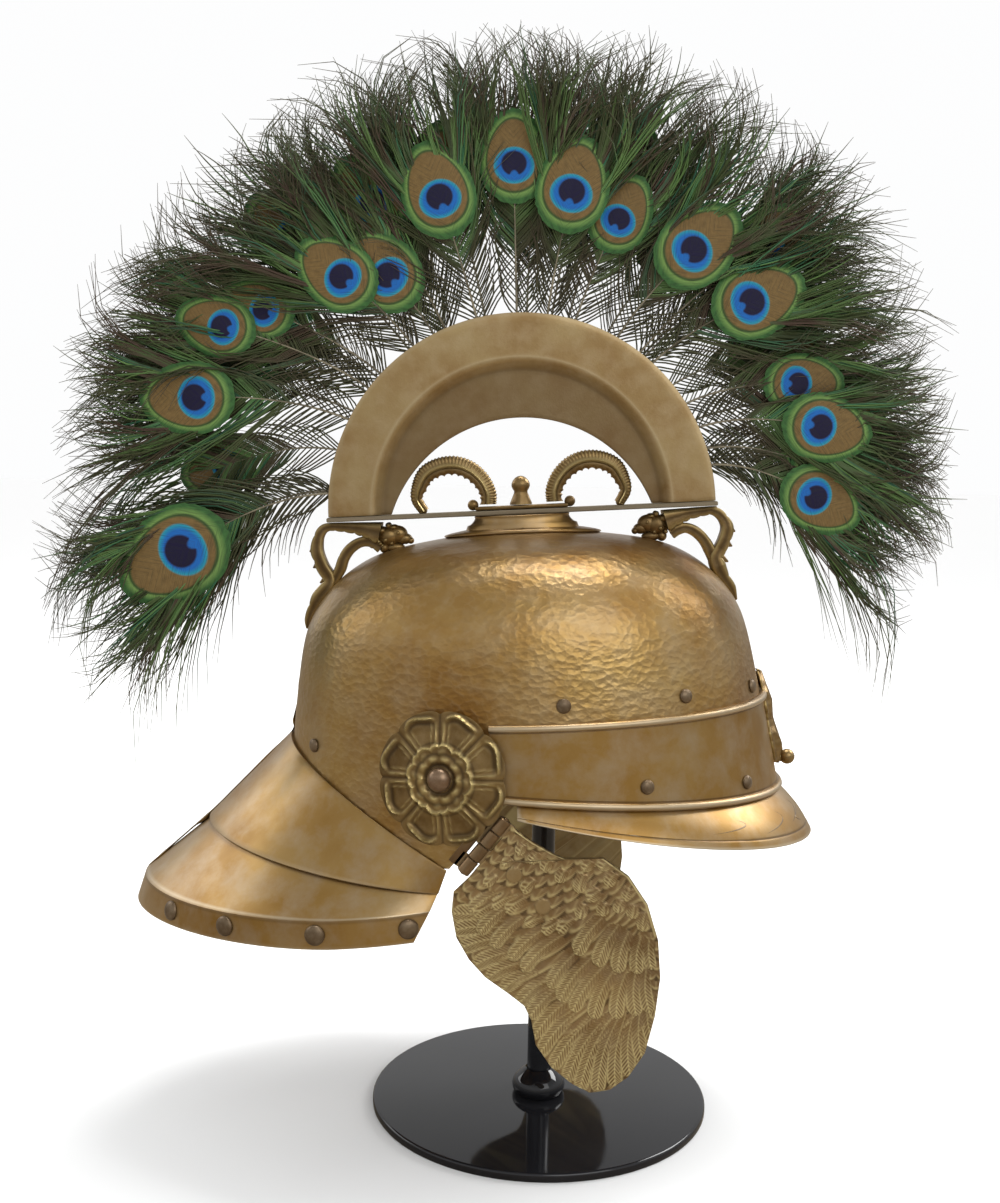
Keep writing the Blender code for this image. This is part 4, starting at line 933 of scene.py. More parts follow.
scroll = {
    # middle line and half width in millimetres: from the crest's middle, above the bar
    "line": ((56.9, 1.0, 3.0), (60.6, 8.3, 3.6), (58.4, 15.8, 5.0), (54.2, 22.2, 5.7), (46.8, 25.8, 5.8),
             (37.8, 26.4, 5.8), (29.7, 23.4, 5.8), (23.2, 17.4, 5.5), (19.6, 9.9, 5.2), (19.6, 3.4, 5.0)),
    "thick": 0.0044, "ribs": 46, "scallops": 15,
    "plinth": (0.027, 0.006, 0.0022),
    # small balls between the scrolls and the bar: across, up, radius, steps
    "knobs": ((0.0282, 0.0033, 0.0032, 16), (0.0575, 0.0016, 0.0026, 14)),
}


def makeScrolls():
    foot = crest["barTop"] + gap
    rows = np.array(scroll["line"]) / 1000
    long, wide, high = scroll["plinth"]
    shapes = [roundBox((crest["shift"] - long, -wide, foot), (crest["shift"] + long, wide, foot + high),
                       0.0008, 3)]
    for way in (-1, 1):
        def section(u, turn):
            half = np.interp(u, np.linspace(0, 1, len(rows)), rows[:, 2])
            outward, aside = np.cos(turn), np.sin(turn)
            grow = clamp(u * 8)
            # fine ribs outside, a smooth ridge, then scallops inside
            rib = np.cos(u * math.tau * scroll["ribs"]) * clamp((outward - 0.25) * 3)
            scallop = np.abs(np.sin(u * math.pi * scroll["scallops"])) ** 0.7 * clamp((-outward - 0.3) * 2)
            ridge = near(outward, 0.16, 0.05)
            groove = near(outward, 0.08, 0.32) + near(outward + 0.25, 0.08)
            reach = half * outward * (1 + 0.055 * rib * grow - 0.22 * scallop * grow)
            thick = scroll["thick"] * (0.55 + 0.45 * half / 0.005)
            side = thick * np.sign(aside) * np.abs(aside) ** 0.8 \
                * (0.80 + 0.28 * ridge - 0.16 * groove + 0.07 * rib)
            # painted shade in the grooves and between the ribs; painted highlight on the ridge and ribs
            shade = clamp(groove + clamp(-rib) * 0.4) * 0.55
            return -way * reach, side, 0.9 * ridge + 0.35 * clamp(rib), shade

        points = [(crest["shift"] + way * x, foot + z) for x, z, _ in rows]
        shapes.append(sweep(points, 184, 24, section))
        shapes += [ball((crest["shift"] + way * across, 0, foot + up), radius, steps)
                   for across, up, radius, steps in scroll["knobs"]]
    addPiece("leafScrolls", merged(shapes), castBrass, ["scroll_handles"], sharp=65)


makeScrolls()


def makeFinial():
    foot = crest["barTop"] + gap * 2 + scroll["plinth"][2]
    # radius and height in millimetres, before it is stretched a tenth
    profile = ((0, 15.2), (1.5, 15.0), (3.1, 14.2), (4.5, 12.8), (5.3, 11.2), (5.4, 9.8), (4.8, 8.4),
               (4.0, 7.2), (4.1, 6.2), (5.1, 4.2), (6.1, 2.2), (6.7, 0.9), (6.8, 0.0), (0, 0.0))
    bm = lathe([(r / 1000, z * 1.1 / 1000) for r, z in profile], 40)
    for vert in bm.verts:
        # shallow folds round the bud's foot
        turn = math.atan2(vert.co.y, vert.co.x)
        fold = 1 - 0.10 * (0.5 + 0.5 * math.cos(turn * 5)) * min(max((0.010 - vert.co.z) / 0.006, 0), 1)
        vert.co.x *= fold
        vert.co.y *= fold
    bmesh.ops.translate(bm, verts=bm.verts, vec=(crest["shift"], 0, foot))
    addPiece("crestFinial", bm, castBrass, ["finial"])


makeFinial()

bracket = {
    "size": 0.05,
    # across from the bar's end and down from the bar, as shares of the size, then the limb's radius
    "front": {
        "outer": ((0.11, 0.045, 0.040), (0.0, 0.075, 0.048), (-0.08, 0.15, 0.050), (-0.12, 0.26, 0.056),
                  (-0.09, 0.39, 0.060), (-0.03, 0.50, 0.056), (0.02, 0.60, 0.064), (0.0, 0.71, 0.070),
                  (-0.06, 0.85, 0.058), (-0.13, 0.97, 0.042), (-0.18, 1.11, 0.014)),
        "arch": ((0.53, 0.30, 0.054), (0.46, 0.26, 0.052), (0.36, 0.24, 0.050), (0.25, 0.29, 0.050),
                 (0.15, 0.39, 0.052), (0.09, 0.51, 0.052), (0.05, 0.63, 0.044)),
        "leaves": ((-0.22, 0.31, 0.050), (-0.18, 0.48, 0.048), (-0.13, 0.66, 0.044)),
    },
    "back": {
        "outer": ((0.09, 0.045, 0.040), (-0.04, 0.065, 0.048), (-0.11, 0.14, 0.050), (-0.14, 0.25, 0.054),
                  (-0.14, 0.36, 0.060), (-0.09, 0.51, 0.060), (-0.02, 0.64, 0.058), (0.02, 0.75, 0.066),
                  (-0.04, 0.88, 0.064), (-0.14, 1.0, 0.050), (-0.21, 1.13, 0.034), (-0.27, 1.23, 0.012)),
        "arch": ((0.60, 0.32, 0.054), (0.51, 0.25, 0.052), (0.38, 0.24, 0.050), (0.25, 0.31, 0.050),
                 (0.16, 0.42, 0.052), (0.11, 0.55, 0.052), (0.06, 0.71, 0.044)),
        "leaves": ((-0.24, 0.33, 0.050), (-0.21, 0.52, 0.048), (-0.14, 0.70, 0.044)),
    },
    "beam": ((-0.01, 0.045, 0.042), (0.13, 0.055, 0.050), (0.31, 0.075, 0.062), (0.45, 0.105, 0.084),
             (0.60, 0.145, 0.110)),
    # the head's lumps: across, down, reach along, reach down, width
    "head": ((0.69, 0.19, 0.135, 0.120, 0.110), (0.80, 0.17, 0.120, 0.105, 0.090),
             (0.88, 0.225, 0.090, 0.066, 0.072), (0.95, 0.25, 0.040, 0.040, 0.054),
             (0.76, 0.32, 0.120, 0.054, 0.070), (0.64, 0.32, 0.060, 0.065, 0.090),
             (0.76, 0.085, 0.060, 0.035, 0.090), (0.62, 0.12, 0.070, 0.055, 0.095),
             (0.56, 0.20, 0.050, 0.050, 0.080), (0.50, 0.28, 0.044, 0.044, 0.060)),
    # eyes, nostrils and ears on both sides: across, down, aside, radius
    "marks": ((0.81, 0.155, 0.075, 0.024), (0.94, 0.245, 0.036, 0.014), (0.70, 0.06, 0.062, 0.034),
              (0.66, 0.23, 0.094, 0.030), (0.60, 0.27, 0.080, 0.026), (0.73, 0.27, 0.070, 0.022)),
}


def makeBrackets():
    size = bracket["size"]
    for word, way in (("front", 1), ("back", -1)):
        def spot(across, down, radius=0.0):
            # a limb never sinks into the dome
            x = crest["radius"] + crest["overhang"] - size * across + crest["shift"] * way
            z = crest["barTop"] - crest["barThickness"] - gap - size * down
            if down > 0.5:
                x = max(x, float(domePoint(0.0, np.array(z), size * radius * 0.85 + gap)[0]))
            return way * x, z

        def limb(rows, lobes, crumple):
            # thicker away from the bar
            radii = [row[2] * (1 + 0.32 * min(row[1] / 0.18, 1)) for row in rows]
            turned = leafBar(np.array(radii) * size, lobes, 2, 1.3, crumple)

            def section(u, turn):
                reach, *rest = turned(u, turn)
                return way * reach, *rest

            return sweep([spot(*row) for row in rows], 80, 22, section)

        own = bracket[word]
        shapes = [limb(own["outer"], 5, 0.34), limb(own["arch"], 3, 0.16), limb(bracket["beam"], 6, 0.28)]
        for across, down, long, high, wide in bracket["head"]:
            x, z = spot(across, down)
            lump = ball((0, 0, 0), size, 18)
            bmesh.ops.scale(lump, verts=lump.verts, vec=(long, wide, high))
            bmesh.ops.translate(lump, verts=lump.verts, vec=(x, 0, z))
            shapes.append(lump)
        for side in (-1, 1):
            for across, down, aside, radius in bracket["marks"]:
                x, z = spot(across, down)
                shapes.append(ball((x, side * size * aside, z), radius * size, 12))
        for across, down, reach in own["leaves"]:
            # leaf tips that stand off the outer limb
            x, z = spot(across, down)
            x2, z2 = spot(across + 0.10, down - 0.07)
            shapes.append(sweep([(x2, z2), ((x + x2) / 2, (z + z2) / 2 - 0.0003), (x, z)], 12, 14,
                                lambda u, turn: (reach * size * (1 - 0.85 * u**2) * np.cos(turn),
                                                 reach * size * 1.2 * (1 - 0.8 * u**2) * np.sin(turn))))
        addPiece(f"crestBracket{word.title()}", merged(shapes), castBrass, ["crest_bracket_" + word],
                 sharp=55)


makeBrackets()
print("crest made")


# Rivets

rivets = {
    "small": 0.0039, "large": 0.0054, "height": 0.0022,
    # angle in degrees, roll of the band, lift above it, stand-off
    "brow": ((82.5, "high", 0.01076, 0), (51.8, "high", 0.0110, 0), (21.2, "high", 0.0085, 0),
             (65.2, "low", 0.0102, gap + sheet), (34.9, "low", 0.0086, gap + sheet)),
    "domeAngle": 150, "domeLift": 0.012,
    # shares of the guard's reach, and how far up its border they sit
    "guard": (0.85, 0.70, 0.487, 0.285), "guardUp": 0.52,
}


def rivetHead(place, normal, radius):
    height = rivets["height"] * (radius / rivets["small"]) ** 0.5
    profile = [(0, height)]
    profile += [(radius * math.sin(a), height * math.cos(a) ** 0.8)
                for a in np.radians((18, 36, 54, 70, 82))]
    profile += [(radius, 0.0002), (radius * 0.98, 0), (0, 0)]
    bm = lathe(profile, 28)
    turn = Vector(normal).to_track_quat("Z", "Y").to_matrix().to_4x4()
    seat = Vector(place) + Vector(normal) * gap
    bmesh.ops.transform(bm, matrix=Matrix.Translation(seat) @ turn, verts=bm.verts)
    return bm


def levelNormal(angle):
    return Vector((math.cos(angle) / dome["length"], math.sin(angle) / dome["width"], 0)).normalized()


def makeRivets():
    for word, side in sides:
        shapes = []
        for degrees, plane, lift, out in rivets["brow"]:
            angle = side * math.radians(degrees)
            place = domeOnLevel(np.array(angle), *band[plane], lift, out)
            normal = (levelNormal(angle) + Vector((0, 0, 0.12))).normalized()
            shapes.append(rivetHead(place, normal, rivets["small"]))
        angle = side * math.radians(rivets["domeAngle"])
        place = domeOnLevel(np.array(angle), *guard["top"], rivets["domeLift"])
        shapes.append(rivetHead(place, levelNormal(angle), rivets["small"]))
        nodes = [f"brow_rivet_{word}_{number}" for number in range(1, 6)] + ["dome_rivet_" + word]
        addPiece(f"browRivets{word.title()}", merged(shapes), darkBrass, nodes)
        shapes = []
        for share in rivets["guard"]:
            x = -guard["reach"] * share
            corners = (("edge", x), ("border", x), ("edge", x + guard["reach"] * 0.017))
            low, high, fore = (Vector((spot, side * float(guardPlan(guardRows[row][0], spot)),
                                       guardRows[row][1][0])) for row, spot in corners)
            normal = (high - low).cross(fore - low).normalized()
            if normal.y * side < 0:
                normal = -normal
            shapes.append(rivetHead(low.lerp(high, rivets["guardUp"]), normal, rivets["large"]))
        nodes = [f"guard_rivet_{word}_{number}" for number in range(1, 5)]
        addPiece(f"guardRivets{word.title()}", merged(shapes), darkBrass, nodes)


makeRivets()
print("rivets made")


# Hinges and wings

wing = {
    "left": -0.0448, "top": 0.0068, "width": 0.107, "height": 0.142, "sheet": 0.002,
    "across": 170, "down": 224,
    # the rear and fore edges: share down, share across
    "rear": ((0.185, 0.055), (0.225, 0.014), (0.294, 0.0), (0.393, 0.017), (0.477, 0.073), (0.546, 0.147),
             (0.613, 0.259), (0.660, 0.330), (0.715, 0.360), (0.810, 0.378), (0.896, 0.447), (0.960, 0.541),
             (0.998, 0.630)),
    "fore": ((0.005, 0.325), (0.055, 0.410), (0.098, 0.500), (0.119, 0.560), (0.121, 0.61), (0.117, 0.70),
             (0.121, 0.74), (0.195, 0.86), (0.302, 0.945), (0.435, 0.989), (0.576, 0.993), (0.719, 0.961),
             (0.858, 0.905), (0.946, 0.820), (0.990, 0.730), (0.998, 0.650)),
    # tiers of feathers from the lowest
    # base across, base down, tip across, tip down in thousandths, width in millimetres
    "tiers": (
        ((236, 338, 0, 303, 11), (252, 366, 4, 365, 10), (277, 402, 33, 432, 10), (310, 451, 92, 500, 10),
         (334, 493, 156, 548, 9), (395, 530, 222, 595, 9), (465, 553, 300, 655, 9), (498, 596, 351, 706, 9),
         (568, 633, 372, 775, 9), (620, 670, 397, 840, 9), (681, 700, 450, 902, 9), (725, 715, 518, 950, 9),
         (752, 716, 582, 988, 9), (779, 724, 667, 1000, 9), (815, 718, 755, 984, 9), (851, 719, 830, 944, 9),
         (887, 706, 897, 892, 9), (923, 694, 952, 822, 8), (944, 638, 984, 733, 8)),
        ((584, 470, 455, 594, 8.5), (655, 495, 500, 645, 8.5), (725, 520, 562, 686, 8.5),
         (768, 540, 660, 717, 9), (831, 545, 772, 720, 9), (876, 545, 869, 712, 9), (925, 545, 935, 702, 8)),
        ((214, 235, 87, 298, 8), (283, 280, 125, 380, 8), (333, 330, 190, 434, 8), (437, 375, 270, 483, 8),
         (515, 405, 327, 527, 8.5), (717, 345, 590, 474, 9), (795, 375, 688, 520, 9.5),
         (845, 400, 787, 548, 9), (905, 420, 880, 556, 8), (945, 430, 952, 540, 7)),
        ((300, 245, 190, 285, 6.5), (200, 270, 110, 315, 6.5), (350, 255, 262, 305, 7),
         (430, 330, 350, 358, 6.5), (510, 350, 435, 390, 6.5), (580, 340, 508, 390, 6.5),
         (640, 290, 613, 342, 7), (710, 240, 655, 275, 8), (740, 290, 720, 335, 7),
         (820, 280, 796, 325, 6.5), (880, 300, 866, 350, 7), (930, 330, 915, 400, 6.5),
         (480, 120, 448, 160, 7), (550, 160, 520, 205, 7), (640, 180, 612, 245, 7.5),
         (760, 130, 722, 165, 8), (790, 180, 752, 225, 7), (860, 240, 835, 280, 6),
         (400, 190, 345, 235, 7), (300, 110, 255, 135, 6), (360, 60, 330, 95, 6), (420, 90, 390, 130, 6),
         (220, 170, 165, 205, 6), (680, 130, 640, 165, 7)),
    ),
    "rivets": ((0.308, 0.169), (0.439, 0.290)),
}


def wingRelief(across, down):
    # height in millimetres over the plate, and masks of painted highlights on ridges and painted shade in
    # hollows
    x, z = across * wing["width"] * 1000, down * wing["height"] * 1000
    # rows of small rounded scales on the upper part, pointing down and back at the left
    lean = np.interp(across, (0.1, 0.45, 0.9), (1.05, 0.60, 0.05))
    flow = (z * np.cos(lean) - x * np.sin(lean) * 0.95) / 5.2
    beside = (x * np.cos(lean) + z * np.sin(lean)) / 6.0
    row = np.floor(flow)
    t = flow - row
    n = (beside + 0.5 * (row % 2)) % 1.0 - 0.5
    bow = clamp(t + 0.9 * n**2 * 2)
    scale = np.sqrt(clamp(1 - (n * 1.9) ** 2))
    height = 0.18 + 0.50 * scale * np.sin(clamp(bow) * math.pi * 0.75)
    # painted highlights on each scale's swell and middle; painted shade between the scales and under their
    # ends
    ridges = clamp(near(bow, 0.13, 0.80) * scale * 0.55 + near(n, 0.06) * 0.25 * (t < 0.8))
    hollows = clamp(0.45 * (1 - scale) + near(bow, 0.035, 0.985) * 0.8)
    feathers = [(*row, tier) for tier, rows in enumerate(wing["tiers"]) for row in rows]
    for bx, bz, tx, tz, width, tier in feathers:
        bx, tx = bx * wing["width"], tx * wing["width"]
        bz, tz = bz * wing["height"], tz * wing["height"]
        length = math.hypot(tx - bx, tz - bz)
        ux, uz = (tx - bx) / length, (tz - bz) / length
        along = (x - bx) * ux + (z - bz) * uz
        aside = -(x - bx) * uz + (z - bz) * ux
        aside = aside - 0.06 * length * np.sin(clamp(along / length) * math.pi)  # feathers curve a little
        t = along / length
        roundStart = 1 - min(0.55 * width / length, 0.6)
        half = width / 2 * np.where(t < roundStart, 0.80 + 0.2 * clamp(t) / roundStart,
                                    np.sqrt(clamp(1 - ((t - roundStart) / (1 - roundStart)) ** 2)))
        inside = (np.abs(aside) < half) & (t > -0.05) & (t < 1)
        n = clamp(np.abs(aside) / np.maximum(half, 1e-3))
        bar = 2.1 if tier < 3 else 1.3
        barbs = clamp(0.35 + 0.8 * np.sin((along - np.abs(aside) * 1.2) * math.tau / bar))
        shaft = near(aside, 0.35)
        lip = near(n, 0.10, 0.86) * clamp((t - 0.25) * 3)
        lift = 0.30 * tier * clamp(t * 1.4 + 0.2) if tier < 3 else 0.55
        profile = lift + 0.55 * np.sqrt(clamp(1 - n**2)) * (0.5 + 0.5 * clamp(t)) \
            + 0.16 * shaft + 0.20 * lip + 0.15 * barbs * (1 - shaft) * clamp(1 - n) * 2
        shown = inside & (profile + 0.25 > height)
        height = np.where(shown, profile, height)
        # painted highlights on the feathers' lips, shafts and barbs; painted shade at their edges and
        # between the barbs
        featherHighlight = clamp(0.70 * lip + 0.55 * shaft + 0.70 * barbs * np.clip(t * 1.5, 0.15, 1) * (n < 0.82))
        ridges = np.where(shown, featherHighlight * (0.62 + 0.38 * clamp(t)), ridges)
        hollows = np.where(shown, clamp((n - 0.93) * 12) * 0.75 + 0.22 * (1 - barbs) * (n < 0.8), hollows)
    # a thin raised rim along the fore and top edge, with a painted highlight
    foreLine = np.array(wing["fore"])
    inFrom = (np.interp(down, foreLine[:, 0], foreLine[:, 1]) - across) * wing["width"] * 1000
    rimmed = near(inFrom, 0.55, 0.9) * (down < 0.42)
    height = np.maximum(height, 0.85 * rimmed)
    ridges = np.maximum(ridges, 0.8 * rimmed)
    for ax, dz in wing["rivets"]:
        far = np.hypot(x - ax * wing["width"] * 1000, z - dz * wing["height"] * 1000)
        flat = far < 4.2
        height = np.where(flat, 1.25 - 0.02 * far**2, height)
        ridges = np.where(flat, 0.12, ridges)
        # painted shade in a ring round the rivet's head
        hollows = np.where(flat, clamp((far - 3.7) * 2) * 0.7, hollows)
    return height, ridges, hollows


def makeWings():
    rear, fore = np.array(wing["rear"]), np.array(wing["fore"])
    edge = hinge["radius"] + 0.0008
    # the edge along the hinge, as shares
    ends = []
    for along in (-hinge["length"] / 2, hinge["length"] * 0.47):
        x, z = hingeSpot(along, -edge)
        ends.append(((x - wing["left"]) / wing["width"], (wing["top"] - z) / wing["height"]))
    (rearAcross, rearDown), (foreAcross, foreDown) = ends
    rear = np.vstack([(foreDown, foreAcross), (rearDown, rearAcross), rear[1:]])
    fore = np.vstack([(foreDown, foreAcross + 0.002), fore[1:]])
    for word, side in sides:
        def shares(u, v):
            # even rows, as the grid's own spots are rounded
            down = foreDown + (0.998 - foreDown) * (np.rint(v * wing["down"]) / wing["down"])
            low = np.interp(down, rear[:, 0], rear[:, 1])
            high = np.interp(down, fore[:, 0], fore[:, 1])
            return low + (high - low) * u, down

        def form(u, v):
            across, down = shares(u, v)
            height, ridges, hollows = wingRelief(across, down)
            x = wing["left"] + wing["width"] * across
            z = wing["top"] - wing["height"] * down
            fromHinge = -(-(x + hinge["back"]) * math.sin(hinge["rise"])
                          + (z + hinge["drop"]) * math.cos(hinge["rise"])) - edge
            calm = clamp(fromHinge / 0.006)
            rim = np.minimum(u, 1 - u) * 2
            calm = calm * clamp(rim / 0.02 + 0.35)
            out = dome["width"] / 2 + hinge["out"] + wing["sheet"] / 2 + height / 1000 * calm
            return xyz(x, side * out, z), ridges, hollows

        bm = formedGrid(wing["across"], wing["down"], form, merge=False)
        rims = [loop for loop in bm.edges if loop.is_boundary]
        made = bmesh.ops.extrude_edge_only(bm, edges=rims)
        lower = [item for item in made["geom"] if isinstance(item, bmesh.types.BMVert)]
        for vert in lower:
            vert.co.y = side * (dome["width"] / 2 + hinge["out"] - wing["sheet"] / 2)
        closeEnds(bm)
        addPiece(f"wing{word.title()}", bm, wingBrass, ["cheek_wing_" + word], f"cheek_{word}",
                 sharp=50)


makeWings()


def makeHinges():
    pitch = hinge["length"] / hinge["knuckles"]
    bore = hinge["pin"] + hinge["clearance"]
    for word, side in sides:
        place = helmetPlace @ Matrix.Translation((-hinge["back"], side * (dome["width"] / 2 + hinge["out"]),
                                                  -hinge["drop"]))
        place = place @ Matrix.Rotation(-hinge["rise"], 4, "Y")
        fixed, moving = [], []
        leafLow = -side * (hinge["radius"] - sheet / 2) - sheet / 2
        for index in range(hinge["knuckles"]):
            low = -hinge["length"] / 2 + pitch * index + hinge["gap"] / 2
            high = low + pitch - hinge["gap"]
            ring = ((low, bore), (low, hinge["radius"] - 0.0004), (low + 0.0004, hinge["radius"]),
                    (high - 0.0004, hinge["radius"]), (high, hinge["radius"] - 0.0004), (high, bore),
                    (low, bore))

            def form(u, v):
                along = np.interp(v * 6, range(7), [row[0] for row in ring])
                radius = np.interp(v * 6, range(7), [row[1] for row in ring])
                return xyz(along, radius * np.cos(u * math.tau), radius * np.sin(u * math.tau))

            knuckle = formedGrid(32, 6, form)
            if index % 2:
                root = roundBox((low, -wing["sheet"] * 0.35, -hinge["radius"] - 0.0028),
                                (high, wing["sheet"] * 0.35, -bore - 0.0006), 0.0002, 1)
                moving += [knuckle, root]
            else:
                root = roundBox((low, leafLow, gap), (high, leafLow + sheet, hinge["radius"] + 0.0028),
                                0.0002, 1)
                fixed += [knuckle, root]
        third = -hinge["length"] / 2 + pitch * 3 - hinge["gap"] / 2
        fixed.append(roundBox((-hinge["length"] / 2, leafLow, hinge["radius"] + 0.0008),
                              (third, leafLow + sheet, hinge["radius"] + 0.0058), 0.0003, 2))
        addPiece(f"hingeLeaf{word.title()}", merged(fixed), hingeBrass, ["hinge_leaf_" + word],
                 frameOf=place)
        addPiece(f"wingKnuckles{word.title()}", merged(moving), hingeBrass, [],
                 f"cheek_{word}", frameOf=place)
        half = hinge["length"] / 2 + 0.0005
        pin = ((0, -half), (hinge["pin"] * 0.8, -half), (hinge["pin"], -half + 0.0003),
               (hinge["pin"], half - 0.0003), (hinge["pin"] * 0.8, half), (0, half))
        addPiece(f"hingePin{word.title()}", lathe(pin, 24), hingeBrass, ["hinge_pin_" + word],
                 frameOf=place @ Matrix.Rotation(math.pi / 2, 4, "Y"))


makeHinges()
print("wings made")


# Stand

def makeStand():
    base, thick, edge, pole = (stand[key] for key in ("base", "thick", "edge", "pole"))
    rim = [(base - edge + edge * math.sin(a), thick - edge + edge * math.cos(a))
           for a in np.radians((15, 30, 45, 60, 75, 90))]
    foot, top, corner = thick + gap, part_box("stand_pole")[1][2], 0.0004
    for name, steps, profile in (
            ("base", 160, [(0, thick), (base - edge, thick), *rim, (base, edge / 2), (base - 0.0006, 0.0),
                           (0, 0)]),
            ("collar", 64, [(radius, foot + height) for radius, height in stand["collar"]]),
            ("pole", 48, [(0, top), (pole - corner, top), (pole, top - corner), (pole, foot + corner),
                          (pole, foot), (0, foot)])):
        addPiece("stand" + name.title(), lathe(profile, steps), blackEnamel, ["stand_" + name],
                 frameOf=Matrix.Identity(4))


makeStand()
print("stand made")


# Plume

plume = {
    "seed": 7, "sections": 7, "reach": 0.283, "start": 0.1085, "eye": 0.0215, "farCount": 14,
    "plainCount": 6,
    # the barbs of each feather and of each eye, and the points along one
    "strands": 205, "fringe": 50, "points": 7, "strandRadius": 0.00048, "longest": 0.118, "clump": 7,
    # angle from the front in degrees, reach as a share
    "outline": ((-24, 0.78), (-6, 0.85), (16, 0.90), (30, 0.94), (54, 0.93), (72, 0.95), (90, 0.93),
                (108, 0.93), (122, 0.92), (142, 0.97), (192, 0.98), (208, 0.93)),
    # the near row's eyes: angle, reach in metres, size, stand-off from the middle plane
    "near": (
        (-0.7, 0.1711, 0.92, 0.013), (4.9, 0.1749, 0.72, 0.007), (12.5, 0.1790, 0.95, 0.015),
        (21.5, 0.1762, 0.85, 0.006), (39.2, 0.1778, 1.02, 0.014), (44.6, 0.2091, 0.85, 0.008),
        (53.8, 0.1774, 1.02, 0.018), (68.9, 0.1755, 0.85, 0.007), (78.6, 0.1829, 1.0, 0.016),
        (88.9, 0.1966, 0.95, 0.013), (102.5, 0.1836, 1.0, 0.018), (113.7, 0.1965, 0.95, 0.005),
        (117.8, 0.1562, 0.98, 0.008), (125.7, 0.1695, 0.95, 0.012), (140.2, 0.1889, 0.80, 0.007),
        (146.5, 0.2026, 0.85, 0.010), (159.0, 0.1997, 1.0, 0.016), (185.0, 0.2006, 1.28, 0.018),
    ),
}


def crestSpot(degrees, reach, y=0.0):
    angle = math.radians(degrees)
    return np.array((reach * math.cos(angle), y, reach * math.sin(angle)))


def featherPlan():
    # each feather: root angle, eye angle, eye reach, size, stand-off (near side negative), has an eye
    dice = np.random.default_rng(plume["seed"])
    plan = [(angle, reach, size, -off, True) for angle, reach, size, off in plume["near"]]
    for number in range(plume["farCount"]):
        share = (number + 0.5) / plume["farCount"]
        plan.append((-6 + 197 * share, 0.182 + 0.022 * (number % 2) + dice.uniform(-0.008, 0.008),
                     dice.uniform(0.85, 1.1), dice.uniform(0.010, 0.018), True))
    for number in range(plume["plainCount"]):
        share = (number + 0.5) / plume["plainCount"]
        plan.append((-13 + 216 * share + dice.uniform(-3, 3), dice.uniform(0.185, 0.205), 1.0,
                     dice.uniform(-0.006, 0.006), False))
    return [(90 + (row[0] - 90) * 0.87, *row) for row in plan]


def featherPath(root, angle, reach, off, count=40):
    # from the channel, straight out, then over to the eye
    start = crestSpot(root, plume["start"] - 0.006, off * 0.2)
    lead = crestSpot(root, plume["start"] + 0.4 * (reach - plume["start"]), off * 0.45)
    end = crestSpot(angle, reach, off * 0.9)
    t = np.linspace(0, 1, count)[:, None]
    return start * (1 - t) ** 2 + 2 * lead * t * (1 - t) + end * t**2


def streaming(feather, count):
    # the feather's axis by length, and on past the eye
    path = featherPath(feather[0], feather[1], feather[2], feather[4], count)
    steps = np.linalg.norm(np.diff(path, axis=0), axis=1)
    return path, np.concatenate([[0], np.cumsum(steps)])


